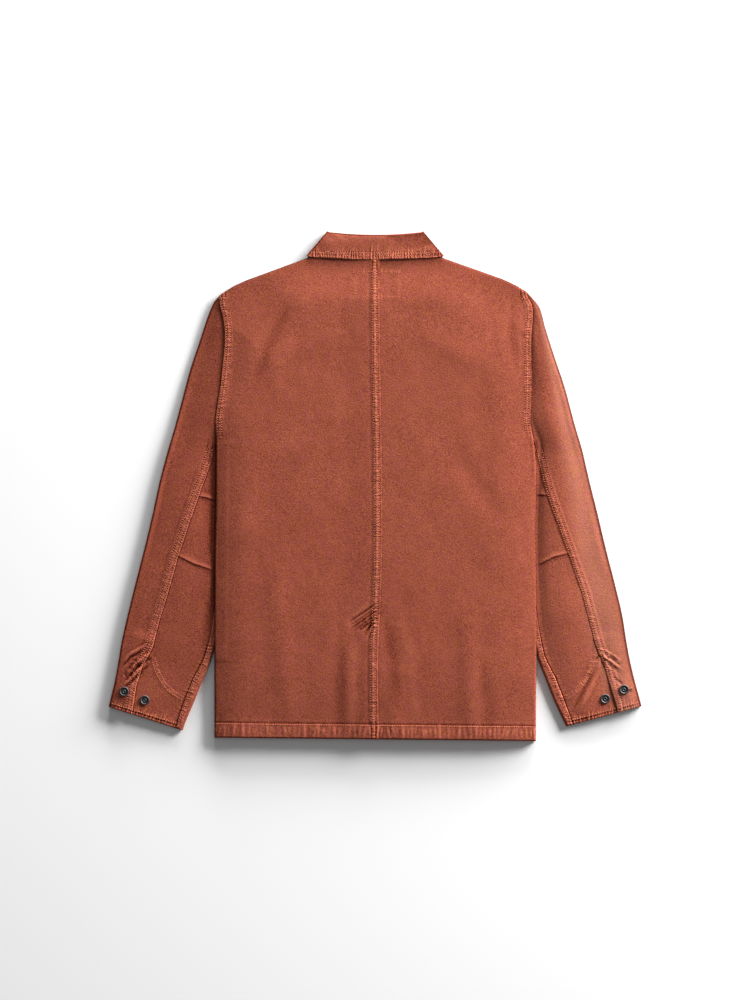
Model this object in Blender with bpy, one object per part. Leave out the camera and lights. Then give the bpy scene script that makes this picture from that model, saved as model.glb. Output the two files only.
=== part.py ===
"""A chore jacket laid face down on a flat surface, with its back up and its sleeves spread.

Blender 4.5 script, metres, +Z up. X runs across the back to the right, Y from the hem to the collar.
Each cut piece of cloth is one closed wall. The tables are in millimetres: across is measured from the
middle of the back, up from the lowest point of the hem, and z from the surface the jacket lies on.
"""

import math
from collections import namedtuple

import bmesh
import bpy
import numpy as np

MM = 0.001

# Cloth
WALL = 1.0
SEAM_GAP = 0.4
BAND_RISE = 0.8
LENGTH = 764.0

# Neck and collar
NECK_HALF = 90.0
NECK_POINT = 733.0
BACK_NECK_DEPTH = 4.5
FRONT_NECK_DEPTH = 71.0
STAND_LOW = 0.4
FALL_LOW = STAND_LOW + WALL + SEAM_GAP
COLLAR_AXIS = FALL_LOW + WALL
COLLAR_LIFT = COLLAR_AXIS - STAND_LOW - WALL
LEAF_EASE = (70.0, 20.0)
ROLL_HALF = 69.5
ROLL_CORNER = 763.0
ROLL_DIP = 4.0
FALL_HALF = 100.7
FALL_CORNER = 726.2
FALL_DIP = 4.5
COLLAR_TIP_ACROSS = 42.0
COLLAR_TIP_UP = 628.0
COLLAR_FRONT_END = 4.0
COLLAR_FRONT_ROLL = 69.0

# Body
HEM_DEPTH = 22.5
HEM_MIDDLE = 2.5
HEM_SLOPE = -0.0105
SEAM_BAND = 12.0
SEAM_BAND_FADE = (700.0, 716.0)
ARMHOLE_BAND = 10.5
BAND_STEP = 1.5
ARMPIT = 459.0
ROW_TOP = 700.0
BACK_LEVEL = 4.6
ARMHOLE_LEVEL = 3.4
ARMHOLE_EASE = 60.0
HEM_EASE = 110.0
SHOULDER_EASE = 95.0
NECK_EASE = 65.0
NECK_FLAT = 15.0
NECK_SPREAD = (FALL_HALF + 4, FALL_HALF + 70)
ROW_LEVEL_END = (60.0, 200.0)
ROW_FOLLOW_START = 250.0
ARMPIT_FADE = (ARMPIT, 500.0)
ARMHOLE_BAND_START = (ARMPIT, 480.0)

# Centre back vent
VENT_TOP = 172.0
VENT_STEP = 4.0
VENT_UNDERLAP = 14.0
VENT_EASE = 26.0
PAST_LAP = (1.0, 3.0)
VENT_FADE = (VENT_TOP + VENT_STEP, 200.0)
LAP_LIFT = WALL + 0.5

# Fronts
FRONT_LAP = 14.0
FRONT_BUTTONS_UP = (628.0, 508.0, 388.0, 268.0, 148.0)
BUTTON_LIFT = 2.0
BUTTON_STRIP = 9.0
STRIP_EASE = 45.0
STRIP_START = (60.0, 120.0)
STRIP_END = (645.0, 665.0)
LAP_END = (668.0, 705.0)
SLEEVE_LIFT = 3.0
SLEEVE_STRIP = 16.0
SIDE_EASE = 50.0
SLEEVE_STRIP_START = (80.0, 125.0)

# Sleeves
FOLD_HEIGHT = 2.6
CAP_LOFT = 1.8
SLEEVE_LOFT = 2.6
INNER_FLAT = 16.0
PEAK_SHARE = 0.7
CUFF_UNDERLAP = 14.0
CUFF_LAP_EASE = (20.0, 45.0)

# Buttons
BUTTON_RADIUS = 7.25
BUTTON_SEGMENTS = 14

CLOTH_RUST = (0.36, 0.085, 0.047, 1.0)
BUTTON_GREY = (0.16, 0.16, 0.17, 1.0)

Side = namedtuple("Side", "up left right")
SIDES = (
    Side(0, 241.0, 241.0),
    Side(130, 241.0, 241.5),
    Side(300, 240.0, 240.0),
    Side(450, 238.5, 237.5),
    Side(482, 239.0, 232.5),
    Side(505, 236.0, 233.5),
    Side(530, 232.0, 234.0),
    Side(558, 229.0, 234.0),
    Side(590, 226.0, 233.5),
    Side(612, 225.5, 234.0),
    Side(635, 228.0, 236.0),
    Side(655, 233.0, 234.0),
    Side(668, 233.5, 227.0),
)

Shoulder = namedtuple("Shoulder", "across left right")
SHOULDERS = (
    Shoulder(90, 733.0, 733.0),
    Shoulder(103, 724.0, 724.0),
    Shoulder(192, 691.5, 692.5),
    Shoulder(211, 683.0, 683.5),
    Shoulder(227, 673.0, 674.0),
    Shoulder(234, 668.0, 669.0),
)

CentreSeam = namedtuple("CentreSeam", "up across")
CENTRE_SEAM = (
    CentreSeam(0, 5.0),
    CentreSeam(150, 5.0),
    CentreSeam(210, 8.0),
    CentreSeam(660, 6.5),
    CentreSeam(735, 6.5),
)

# A soft fold of the back: a ridge where its height is positive, a trough where it is negative.
FOLD_START = (-0.15, 0.2)
FOLD_STOP = (0.8, 1.15)
Fold = namedtuple("Fold", "from_across from_up to_across to_up breadth height")
BACK_FOLDS = (
    Fold(-38, 12, -40, 150, 26, 1.0),
    Fold(30, 12, 34, 120, 24, 0.9),
    Fold(142, 12, 138, 200, 30, 0.8),
    Fold(-130, 20, -150, 260, 34, 0.7),
    Fold(-190, 330, -120, 420, 34, -0.7),
    Fold(190, 330, 120, 430, 34, -0.7),
    Fold(-175, 560, -60, 610, 36, 0.6),
    Fold(175, 560, 60, 610, 36, 0.6),
)

# A sleeve row is a straight line over the sleeve from its outer fold to its inner one. tuck is how far
# the inner fold lies under the body's side. elbow and under are the two seams, as shares of the line.
SleeveRow = namedtuple("SleeveRow", "outer_across outer_up inner_up tuck elbow under")
SLEEVES = {
    "left": (
        SleeveRow(235.0, 666.0, 661.5, -0.4, 1.0, 1.0),
        SleeveRow(243.0, 655.5, 649.5, -0.4, 1.0, 1.0),
        SleeveRow(251.5, 635.0, 628.5, -0.4, 1.0, 1.0),
        SleeveRow(263.5, 598.5, 589.5, -0.4, 1.0, 1.0),
        SleeveRow(277.5, 556.5, 544.5, -0.4, 1.0, 1.0),
        SleeveRow(289.5, 511.5, 496.5, -0.4, 1.0, 1.0),
        SleeveRow(299.5, 474.0, 457.5, -0.4, 1.0, 1.0),
        SleeveRow(310.5, 436.5, 418.5, 8.0, 0.815, 0.95),
        SleeveRow(322.5, 391.5, 370.5, 10.5, 0.655, 0.94),
        SleeveRow(334.0, 339.0, 316.5, 12.0, 0.52, 0.94),
        SleeveRow(346.5, 286.5, 262.5, 12.0, 0.43, 0.94),
        SleeveRow(360.0, 234.0, 208.5, 9.0, 0.39, 0.94),
        SleeveRow(371.0, 189.0, 162.0, 4.5, 0.35, 0.93),
        SleeveRow(379.5, 151.5, 122.0, -4.5, 0.345, 0.92),
        SleeveRow(384.5, 121.5, 90.0, -17.5, 0.285, 0.89),
        SleeveRow(390.0, 91.5, 58.5, -30.5, 0.27, 0.885),
        SleeveRow(396.0, 66.0, 31.5, -42.0, 0.30, 0.90),
        SleeveRow(399.4, 51.5, 16.0, -47.5, 0.315, 0.915),
    ),
    "right": (
        SleeveRow(232.5, 669.0, 665.5, -0.4, 1.0, 1.0),
        SleeveRow(242.0, 657.0, 653.0, -0.4, 1.0, 1.0),
        SleeveRow(248.5, 645.0, 640.5, -0.4, 1.0, 1.0),
        SleeveRow(256.0, 616.5, 607.5, -0.4, 1.0, 1.0),
        SleeveRow(269.5, 574.5, 562.5, -0.4, 1.0, 1.0),
        SleeveRow(284.5, 529.5, 514.5, -0.4, 1.0, 1.0),
        SleeveRow(299.0, 475.5, 457.5, -0.4, 1.0, 1.0),
        SleeveRow(310.5, 436.5, 418.5, 8.0, 0.86, 0.95),
        SleeveRow(321.0, 391.5, 370.5, 10.5, 0.73, 0.94),
        SleeveRow(334.0, 339.0, 316.5, 12.0, 0.58, 0.94),
        SleeveRow(346.5, 286.5, 262.5, 12.0, 0.47, 0.94),
        SleeveRow(360.0, 234.0, 208.5, 9.0, 0.40, 0.94),
        SleeveRow(370.5, 189.0, 163.5, 5.0, 0.375, 0.93),
        SleeveRow(376.5, 151.5, 124.5, -2.0, 0.345, 0.92),
        SleeveRow(382.0, 121.5, 93.0, -14.0, 0.305, 0.89),
        SleeveRow(389.0, 91.5, 61.5, -26.5, 0.30, 0.885),
        SleeveRow(396.0, 66.0, 36.0, -38.5, 0.305, 0.90),
        SleeveRow(399.4, 52.5, 22.0, -45.5, 0.315, 0.915),
    ),
}
ARMPIT_ROW = 6.0
UNDER_START_ROW = 6.35
BAND_ROWS = (7.0, 8.0)
CUFF_LAP_ROWS = (12.4, 12.8)
CUFF_UNDERLAP_ROWS = (12.85, 13.15)
LOWER_STATIONS = (
    (6, 6.35, 7, 7.6, 8.15, 8.3, 8.45, 9.2, 9.9, 10.05, 10.2, 11)
    + (12, 12.4, 12.8, 13.15, 13.7, 14.1, 14.5, 15.3, 16.2, 17)
)

# A tuck or wrinkle across a sleeve, along row `row`, between two shares of that row.
SleeveFold = namedtuple("SleeveFold", "row from_share to_share breadth height")
ELBOW_DARTS = (
    SleeveFold(8.3, 0.64, 0.80, 0.14, 0.9),
    SleeveFold(10.05, 0.42, 0.84, 0.14, 1.0),
)
CUFF_WRINKLES = (
    SleeveFold(14.1, 0.03, 0.30, 0.35, 0.9),
    SleeveFold(11.6, 0.08, 0.36, 0.5, 0.5),
)
FOLD_END = 0.06

# Cuff buttons, by the row they lie on and their distance from the outer fold.
CuffButton = namedtuple("CuffButton", "side number row inward")
CUFF_BUTTONS = (
    CuffButton("left", 1, 15.43, 17.5),
    CuffButton("left", 2, 15.57, 50.5),
    CuffButton("right", 1, 15.33, 19.0),
    CuffButton("right", 2, 15.57, 50.0),
)

SIGN = {"left": -1, "right": 1}


def ease(start, end, value):
    """0 before start and 1 after end, with a smooth step between them."""
    share = np.clip((value - start) / (end - start), 0, 1)
    return share * share * (3 - 2 * share)


def through(keys, values):
    """A smooth function through the points (keys, values), level beyond its ends."""
    keys = np.asarray(keys, float)
    values = np.asarray(values, float)
    slopes = np.gradient(values, keys)

    def at(key):
        key = np.clip(key, keys[0], keys[-1])
        index = np.clip(np.searchsorted(keys, key, side="right") - 1, 0, len(keys) - 2)
        span = keys[index + 1] - keys[index]
        part = (key - keys[index]) / span
        rest = 1 - part
        start = rest * rest * (values[index] * (1 + 2 * part) + slopes[index] * span * part)
        end = part * part * (values[index + 1] * (1 + 2 * rest) - slopes[index + 1] * span * rest)
        return start + end

    return at


def table_curve(rows, key, value):
    return through([getattr(row, key) for row in rows], [getattr(row, value) for row in rows])


SIDE_CURVES = {side: table_curve(SIDES, "up", side) for side in SIGN}
CENTRE_SEAM_CURVE = table_curve(CENTRE_SEAM, "up", "across")


def shoulder_line(side, distance):
    """Height of the shoulder line at a distance from the middle: straight from row to row."""
    across = [row.across for row in SHOULDERS]
    return np.interp(distance, across, [getattr(row, side) for row in SHOULDERS])


def back_top(side, across):
    distance = np.abs(across)
    neckline = NECK_POINT - BACK_NECK_DEPTH * (1 - (distance / NECK_HALF) ** 2)
    return np.where(distance < NECK_HALF, neckline, shoulder_line(side, distance))


def front_top(side, across):
    distance = np.abs(across)
    share = np.clip(distance / NECK_HALF, 0, 1)
    neckline = NECK_POINT - FRONT_NECK_DEPTH * np.sqrt(1 - share * share)
    return np.where(distance < NECK_HALF, neckline, shoulder_line(side, distance))


def hem_line(across):
    return HEM_MIDDLE + HEM_SLOPE * across


def nearer_side(across, up):
    """Distance of the body's edge from the middle, on the side that across is on."""
    return np.where(across < 0, SIDE_CURVES["left"](up), SIDE_CURVES["right"](up))


def front_rest(across, up):
    """Height of the fronts' underside: 0 but for what lies under them."""
    distance = np.abs(across)
    inset = nearer_side(across, up) - distance
    beside = 1 - ease(SLEEVE_STRIP, SIDE_EASE, inset)
    along = ease(*SLEEVE_STRIP_START, up) * (1 - ease(*ARMPIT_FADE, up))
    over_sleeve = SLEEVE_LIFT * beside * along
    over_buttons = BUTTON_LIFT * (1 - ease(BUTTON_STRIP, STRIP_EASE, distance))
    over_buttons = over_buttons * ease(*STRIP_START, up) * (1 - ease(*STRIP_END, up))
    leaf_slope = (FALL_CORNER - COLLAR_TIP_UP) / (FALL_HALF - COLLAR_TIP_ACROSS)
    leaf_edge = COLLAR_TIP_UP + leaf_slope * np.abs(distance - COLLAR_TIP_ACROSS)
    over_collar = COLLAR_LIFT * ease(leaf_edge - LEAF_EASE[0], leaf_edge - LEAF_EASE[1], up)
    return np.maximum(np.maximum(over_sleeve, over_buttons), over_collar)


def lap_rise(across, up):
    """How much higher the right front lies where the left front is under it."""
    beside = 1 - ease(FRONT_LAP + BAND_STEP, STRIP_EASE, np.abs(across))
    return (WALL + SEAM_GAP) * beside * (1 - ease(*LAP_END, up))


def fold_height(fold, across, up):
    """A fold is highest along its line and fades out over its breadth and at both ends."""
    along_across = fold.to_across - fold.from_across
    along_up = fold.to_up - fold.from_up
    length = math.hypot(along_across, along_up)
    part = ((across - fold.from_across) * along_across + (up - fold.from_up) * along_up) / length**2
    off = (across - fold.from_across) * along_up - (up - fold.from_up) * along_across
    ends = ease(*FOLD_START, part) * (1 - ease(*FOLD_STOP, part))
    return fold.height * ends * np.exp(-((off / length / (fold.breadth / 2)) ** 2))


def edge_level(level, start, reach, inset):
    """Height near an edge: level at its start, rising to the back's own level over its reach."""
    return level + (BACK_LEVEL - level) * ease(start, start + reach, inset)


def back_rest(across, up):
    """Height of the backs' underside: almost level, and lower round its edges, but over the fronts."""
    distance = np.abs(across)
    front = front_rest(across, up) + lap_rise(across, up) + WALL + SEAM_GAP
    edge = nearer_side(across, up)
    over_front = front_rest(edge, up) + WALL + SEAM_GAP
    beside = np.maximum(ARMHOLE_LEVEL * ease(*ARMPIT_FADE, up), over_front)
    side = edge_level(beside, 0, ARMHOLE_EASE, edge - distance)
    hem = edge_level(WALL + SEAM_GAP, 0, HEM_EASE, up - hem_line(across))
    line = np.where(across < 0, shoulder_line("left", distance), shoulder_line("right", distance))
    shoulder = edge_level(WALL + SEAM_GAP, 0, SHOULDER_EASE, line - up)
    neck_level = COLLAR_LIFT + WALL + 2 * SEAM_GAP
    neck = edge_level(neck_level, NECK_FLAT, NECK_EASE, NECK_POINT - up)
    share = ease(*NECK_SPREAD, distance)
    top = neck * (1 - share) + np.minimum(shoulder, neck) * share
    folds = sum(fold_height(fold, across, up) for fold in BACK_FOLDS)
    return np.maximum(np.minimum(np.minimum(side, hem), top) + folds, front)


def clear_scene():
    for obj in list(bpy.data.objects):
        bpy.data.objects.remove(obj, do_unlink=True)


def material(name, colour, roughness, metallic):
    made = bpy.data.materials.new(name)
    made.use_nodes = True
    shader = made.node_tree.nodes["Principled BSDF"]
    shader.inputs["Base Color"].default_value = colour
    shader.inputs["Roughness"].default_value = roughness
    shader.inputs["Metallic"].default_value = metallic
    return made


def place(points):
    """Table points (across, up, z) in millimetres to the model's metres."""
    points = np.asarray(points, float)
    middle = np.array([0.0, LENGTH / 2, 0.0])
    return (points - middle) * MM


def add_object(name, points, faces, finish):
    mesh = bpy.data.meshes.new(name)
    mesh.from_pydata([tuple(point) for point in place(points)], [], faces)
    shape = bmesh.new()
    shape.from_mesh(mesh)
    bmesh.ops.recalc_face_normals(shape, faces=shape.faces)
    shape.to_mesh(mesh)
    shape.free()
    mesh.materials.append(finish)
    mesh.shade_smooth()
    mesh.set_sharp_from_angle(angle=math.radians(40))
    made = bpy.data.objects.new(name, mesh)
    bpy.context.scene.collection.objects.link(made)
    return made


def add_wall(name, outer, inner, finish):
    """A closed wall between two grids of points: their faces, and a rim round the four edges."""
    rows, columns = outer.shape[:2]
    points = np.concatenate([outer.reshape(-1, 3), inner.reshape(-1, 3)])
    inner_start = rows * columns
    faces = []
    for row in range(rows - 1):
        for column in range(columns - 1):
            corner = row * columns + column
            ring = (corner, corner + 1, corner + columns + 1, corner + columns)
            faces.append(ring)
            faces.append(tuple(index + inner_start for index in reversed(ring)))
    top = [row * columns for row in range(rows)]
    bottom = [index + columns - 1 for index in top]
    left = list(range(columns))
    right = [index + (rows - 1) * columns for index in left]
    for edge in (top, bottom, left, right):
        for start, end in zip(edge, edge[1:]):
            faces.append((start, end, end + inner_start, start + inner_start))
    return add_object(name, points, faces, finish)


BODY_ROWS = (
    (0, 22.5, 24, 50, 80, 102, 125, 150, 168, 176, 200, 235, 280, 330, 385, 440)
    + (459, 480, 500, 525, 555, 585, 610, 635, 655, 675, 700)
)
FRONT_SKIPS = (22.5, 24, 50, 150, 168, 176, 200, 235, 330, 385, 440)
MID_COLUMNS = (16, 30, 45, 62, 78, 87, 90, 110, 140, 168)
SIDE_COLUMNS = (50, 33, 16)


def row_height(side, top_line, across, row):
    """Rows are level near the hem and follow the shoulder and neck line at the top."""
    hem = hem_line(across) * (1 - ease(*ROW_LEVEL_END, row))
    return row + hem + (top_line(side, across) - ROW_TOP) * ease(ROW_FOLLOW_START, ROW_TOP, row)


def panel_grid(side, rows, inner_columns, side_columns, top_line):
    """Plan points of a body panel. inner_columns are functions of the height or fixed places."""
    sign = SIGN[side]
    grid = np.zeros((len(rows), len(inner_columns) + len(side_columns), 2))
    tip = SIDE_CURVES[side](SIDES[-1].up)
    for i, row in enumerate(rows):
        for j, column in enumerate(inner_columns):
            across = column(row) if callable(column) else sign * column
            grid[i, j] = across, row_height(side, top_line, across, row)
        for j, inset in enumerate(side_columns, len(inner_columns)):
            up = row_height(side, top_line, sign * (tip - inset), row)
            grid[i, j] = sign * (SIDE_CURVES[side](up) - inset), up
    return grid


def body_wall(name, grid, underside, thickness, finish):
    """A panel between its underside and that plus its thickness, both functions of (across, up)."""
    across, up = grid[..., 0], grid[..., 1]
    low = underside(across, up)
    high = low + thickness(across, up)
    add_wall(name, np.dstack([across, up, high]), np.dstack([across, up, low]), finish)


def armhole_band(across, up):
    inset = nearer_side(across, up) - np.abs(across)
    across_band = 1 - ease(ARMHOLE_BAND, ARMHOLE_BAND + BAND_STEP, inset)
    return across_band * ease(*ARMHOLE_BAND_START, up)


def hem_band(across, up):
    return 1 - ease(HEM_DEPTH, HEM_DEPTH + BAND_STEP, up - hem_line(across))


def build_back_left(finish):
    def from_seam(distance):
        return lambda up: CENTRE_SEAM_CURVE(up) - distance

    def underside(across, up):
        from_edge = CENTRE_SEAM_CURVE(up) - across
        reach = VENT_UNDERLAP + VENT_STEP
        lapped = 1 - ease(reach, reach + VENT_EASE, from_edge)
        return back_rest(across, up) + LAP_LIFT * lapped * (1 - ease(*VENT_FADE, up))

    def thickness(across, up):
        from_edge = CENTRE_SEAM_CURVE(up) - across
        seam_band = 1 - ease(SEAM_BAND, SEAM_BAND + BAND_STEP, from_edge)
        raised = np.maximum(seam_band * (1 - ease(*SEAM_BAND_FADE, up)), armhole_band(across, up))
        return WALL + BAND_RISE * np.maximum(raised, hem_band(across, up))

    inner = [from_seam(0), from_seam(SEAM_BAND), from_seam(SEAM_BAND + BAND_STEP), *MID_COLUMNS]
    sides = (*SIDE_COLUMNS, ARMHOLE_BAND + BAND_STEP, ARMHOLE_BAND, 0)
    grid = panel_grid("left", BODY_ROWS, inner, sides, back_top)
    body_wall("back_left", grid, underside, thickness, finish)


def build_back_right(finish):
    def seam_edge(up):
        underlap = 1 - ease(VENT_TOP - VENT_STEP, VENT_TOP + VENT_STEP, up)
        return CENTRE_SEAM_CURVE(up) + SEAM_GAP - (VENT_UNDERLAP + SEAM_GAP) * underlap

    def thickness(across, up):
        return WALL + BAND_RISE * np.maximum(armhole_band(across, up), past_lap(across, up))

    def past_lap(across, up):
        past_seam = across - CENTRE_SEAM_CURVE(up)
        return hem_band(across, up) * ease(*PAST_LAP, past_seam)

    def past(distance):
        return lambda up: CENTRE_SEAM_CURVE(up) + distance

    inner = [seam_edge, past(PAST_LAP[0]), past(PAST_LAP[1]), *MID_COLUMNS]
    sides = (*SIDE_COLUMNS, ARMHOLE_BAND + BAND_STEP, ARMHOLE_BAND, 0)
    grid = panel_grid("right", BODY_ROWS, inner, sides, back_top)
    body_wall("back_right", grid, back_rest, thickness, finish)


def build_front(side, finish):
    def underside(across, up):
        rise = lap_rise(across, up) if side == "right" else 0
        return front_rest(across, up) + rise

    def wall(across, up):
        return np.full(across.shape, WALL)

    rows = [row for row in BODY_ROWS if row not in FRONT_SKIPS]
    lap_edge = -SIGN[side] * FRONT_LAP
    inner = [lambda up: lap_edge, lambda up: 0.0, *MID_COLUMNS]
    grid = panel_grid(side, rows, inner, (*SIDE_COLUMNS, 0), front_top)
    body_wall("front_" + side, grid, underside, wall, finish)


class Sleeve:
    """The rows of one sleeve, read smoothly between the table's rows."""

    def __init__(self, side):
        self.side = side
        rows = SLEEVES[side]
        numbers = range(len(rows))
        self.curves = {
            name: through(numbers, [getattr(row, name) for row in rows]) for name in SleeveRow._fields
        }
        tip = SIGN[side] * SIDE_CURVES[side](SIDES[-1].up)
        self.edge_ups = [float(row_height(side, back_top, tip, row)) for row in BODY_ROWS]
        self.edge_across = [float(SIDE_CURVES[side](up)) for up in self.edge_ups]

    def stations(self):
        """The rows the sleeve is built on: at the armhole they end at the corners of the panel's edge."""
        numbers = np.linspace(0, ARMPIT_ROW, 200)
        heights = self.curves["inner_up"](numbers)
        corners = [up for up in self.edge_ups if ARMPIT + SEAM_GAP < up < heights[0] - SEAM_GAP]
        armhole = np.interp(corners[::-1], heights[::-1], numbers[::-1])
        return [0.0, *armhole, *LOWER_STATIONS]

    def ends(self, row):
        """The outer and the inner end of a row, each as (across, up)."""
        inner_up = self.curves["inner_up"](row)
        inner_across = np.interp(inner_up, self.edge_ups, self.edge_across) - self.curves["tuck"](row)
        outer = np.array([self.curves["outer_across"](row), self.curves["outer_up"](row)])
        return outer, np.array([inner_across, inner_up])

    def breadth(self, row):
        outer, inner = self.ends(row)
        return float(np.hypot(*(inner - outer)))

    def seam(self, name, row):
        """Distance of the elbow or under seam from the outer fold."""
        rows = SLEEVES[self.side]
        share = np.interp(row, range(len(rows)), [getattr(each, name) for each in rows])
        return share * self.breadth(row)

    def point(self, row, inward, z):
        outer, inner = self.ends(row)
        across, up = outer + (inner - outer) * inward / self.breadth(row)
        return SIGN[self.side] * across, up, z

    def skin(self, row, inward):
        """Height of the upper side: the fold's height at the edges, more towards the inner one."""
        breadth = self.breadth(row)
        free = ease(ARMPIT_ROW - 0.4, ARMPIT_ROW + 0.3, row)
        share = np.clip(inward / (breadth - INNER_FLAT * free), 0, 1)
        peak = 1 - (1 - PEAK_SHARE) * free
        fall = np.maximum(share - peak, 0) / max(1 - peak, 0.01)
        curve = 1 - np.maximum(1 - share / peak, 0) ** 2 - fall**2
        height = CAP_LOFT + (SLEEVE_LOFT - CAP_LOFT) * ease(ARMPIT_ROW, ARMPIT_ROW + 2, row)
        loft = height * min(1, breadth / 60) * curve
        folds = 0
        for fold in ELBOW_DARTS + CUFF_WRINKLES:
            across = ease(fold.from_share - FOLD_END, fold.from_share, inward / breadth)
            across = across * (1 - ease(fold.to_share - FOLD_END, fold.to_share, inward / breadth))
            folds += fold.height * across * math.exp(-(((row - fold.row) / fold.breadth) ** 2))
        return FOLD_HEIGHT + loft + folds

    def cuff_lap(self, row, inward):
        """Lift of the upper sleeve where it laps over the under sleeve at the cuff's vent."""
        reach = self.seam("elbow", row) - inward
        return LAP_LIFT * ease(*CUFF_LAP_ROWS, row) * (1 - ease(*CUFF_LAP_EASE, reach))


def fold_arc(centre, radius, degrees):
    middle = FOLD_HEIGHT / 2
    turns = [math.radians(angle) for angle in degrees]
    return [(centre + radius * math.cos(turn), middle + radius * math.sin(turn)) for turn in turns]


def upper_section(sleeve, row):
    """Outer and inner points (inward, z) of the upper sleeve, from the elbow seam round to the under seam."""
    radius = FOLD_HEIGHT / 2
    breadth = sleeve.breadth(row)
    joined = row > ARMPIT_ROW
    start = sleeve.seam("elbow", row) if joined else breadth
    band = min(ARMHOLE_BAND, 0.3 * (start - radius))
    shares = (1.0, 0.75, 0.5, 0.25, 0.08)
    rest = start - 1.15 * band - radius
    places = [start, start - band] + [radius + rest * share for share in shares]
    outer, inner = [], []
    for number, inward in enumerate(places):
        low = float(sleeve.skin(row, inward)) - WALL + float(sleeve.cuff_lap(row, inward))
        raised = BAND_RISE * float(ease(*BAND_ROWS, row)) if number < 2 else 0
        outer.append((inward, low + WALL + raised))
        inner.append((inward, low))
    outer += fold_arc(radius, radius, (90, 150, 210, 270))
    inner += fold_arc(radius, radius - WALL, (90, 150, 210, 270))
    if joined:
        last = breadth - radius
        outer.append((breadth / 2, 0))
        inner.append((breadth / 2, WALL))
        outer += fold_arc(last, radius, (-90, -30, 30, 90))
        inner += fold_arc(last, radius - WALL, (-90, -30, 30, 90))
        end = min(sleeve.seam("under", row), last - 0.3)
        outer.append((end, FOLD_HEIGHT))
        inner.append((end, FOLD_HEIGHT - WALL))
    else:
        floor = (0.3, 0.5, 0.65, 0.78, 0.9, 1.0)
        outer += [(radius + (breadth - radius) * share, 0) for share in floor]
        inner += [(radius + (breadth - radius) * share, WALL) for share in floor]
    return outer, inner


def build_upper_sleeve(side, finish):
    sleeve = Sleeve(side)
    walls = ([], [])
    for row in sleeve.stations():
        for wall, section in zip(walls, upper_section(sleeve, row)):
            wall.append([sleeve.point(row, inward, z) for inward, z in section])
    add_wall(f"sleeve_{side}_upper", np.array(walls[0]), np.array(walls[1]), finish)


def build_under_sleeve(side, finish):
    sleeve = Sleeve(side)
    outer, inner = [], []
    for row in sleeve.stations():
        if row < UNDER_START_ROW:
            continue
        last = sleeve.breadth(row) - FOLD_HEIGHT / 2
        end = min(sleeve.seam("under", row), last - 0.3) - SEAM_GAP
        lapped = (CUFF_UNDERLAP + SEAM_GAP) * float(ease(*CUFF_UNDERLAP_ROWS, row))
        start = sleeve.seam("elbow", row) + SEAM_GAP - lapped
        places = [start + (end - start) * share for share in (0, 0.15, 0.35, 0.55, 0.75, 0.9, 1)]
        heights = [float(sleeve.skin(row, inward)) for inward in places]
        outer.append([sleeve.point(row, inward, z) for inward, z in zip(places, heights)])
        inner.append([sleeve.point(row, inward, z - WALL) for inward, z in zip(places, heights)])
    add_wall(f"sleeve_{side}_under", np.array(outer), np.array(inner), finish)


CollarPlace = namedtuple("CollarPlace", "roll stand_end fall_end outward turn")


def collar_places():
    """Stations round the neck, from the left front end, over the back, to the right front end."""
    side_corner = collar_front(math.pi / 2)
    run = np.array(side_corner.fall_end) - side_corner.roll
    outward = np.array([-run[1], run[0]]) / np.hypot(*run)
    columns = [column for column in MID_COLUMNS if 2 * FRONT_LAP < column <= NECK_HALF]
    angles = [math.asin(column / NECK_HALF) for column in columns]
    front = [collar_front(angle) for angle in [math.radians(COLLAR_FRONT_END), *angles]]
    turn = [side_corner._replace(outward=outward, turn=math.radians(angle)) for angle in (-45, 0, 45)]
    right = [collar_back(share) for share in (0, 0.25, 0.5, 0.75, 1.0)] + turn[::-1] + front[::-1]
    left = [mirrored(place) for place in reversed(right[1:])]
    return left + right


def collar_back(share):
    roll = (ROLL_HALF * share, ROLL_CORNER - ROLL_DIP * (1 - share**2))
    neck = (NECK_HALF - 0.8) * share
    stand_end = (neck, back_top("right", neck) + 0.5)
    fall_end = (FALL_HALF * share, FALL_CORNER - FALL_DIP * (1 - share**2))
    return CollarPlace(np.array(roll), stand_end, fall_end, np.zeros(2), math.pi / 2)


def collar_front(angle):
    """A station on the front half: angle runs from the centre front (0) to the shoulder (90 degrees)."""
    along, drop = math.sin(angle), math.cos(angle)
    roll = (ROLL_HALF * along, ROLL_CORNER - COLLAR_FRONT_ROLL * drop)
    stand_end = ((NECK_HALF - 0.8) * along, NECK_POINT + 0.5 - (FRONT_NECK_DEPTH - 0.6) * drop)
    fall_across = FALL_HALF - (FALL_HALF - COLLAR_TIP_ACROSS) * drop
    fall_end = (fall_across, FALL_CORNER - (FALL_CORNER - COLLAR_TIP_UP) * drop)
    return CollarPlace(np.array(roll), stand_end, fall_end, np.zeros(2), -math.pi / 2)


def mirrored(place):
    flip = np.array([-1.0, 1.0])
    return CollarPlace(
        place.roll * flip, place.stand_end * flip, place.fall_end * flip, place.outward * flip, place.turn
    )


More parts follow.
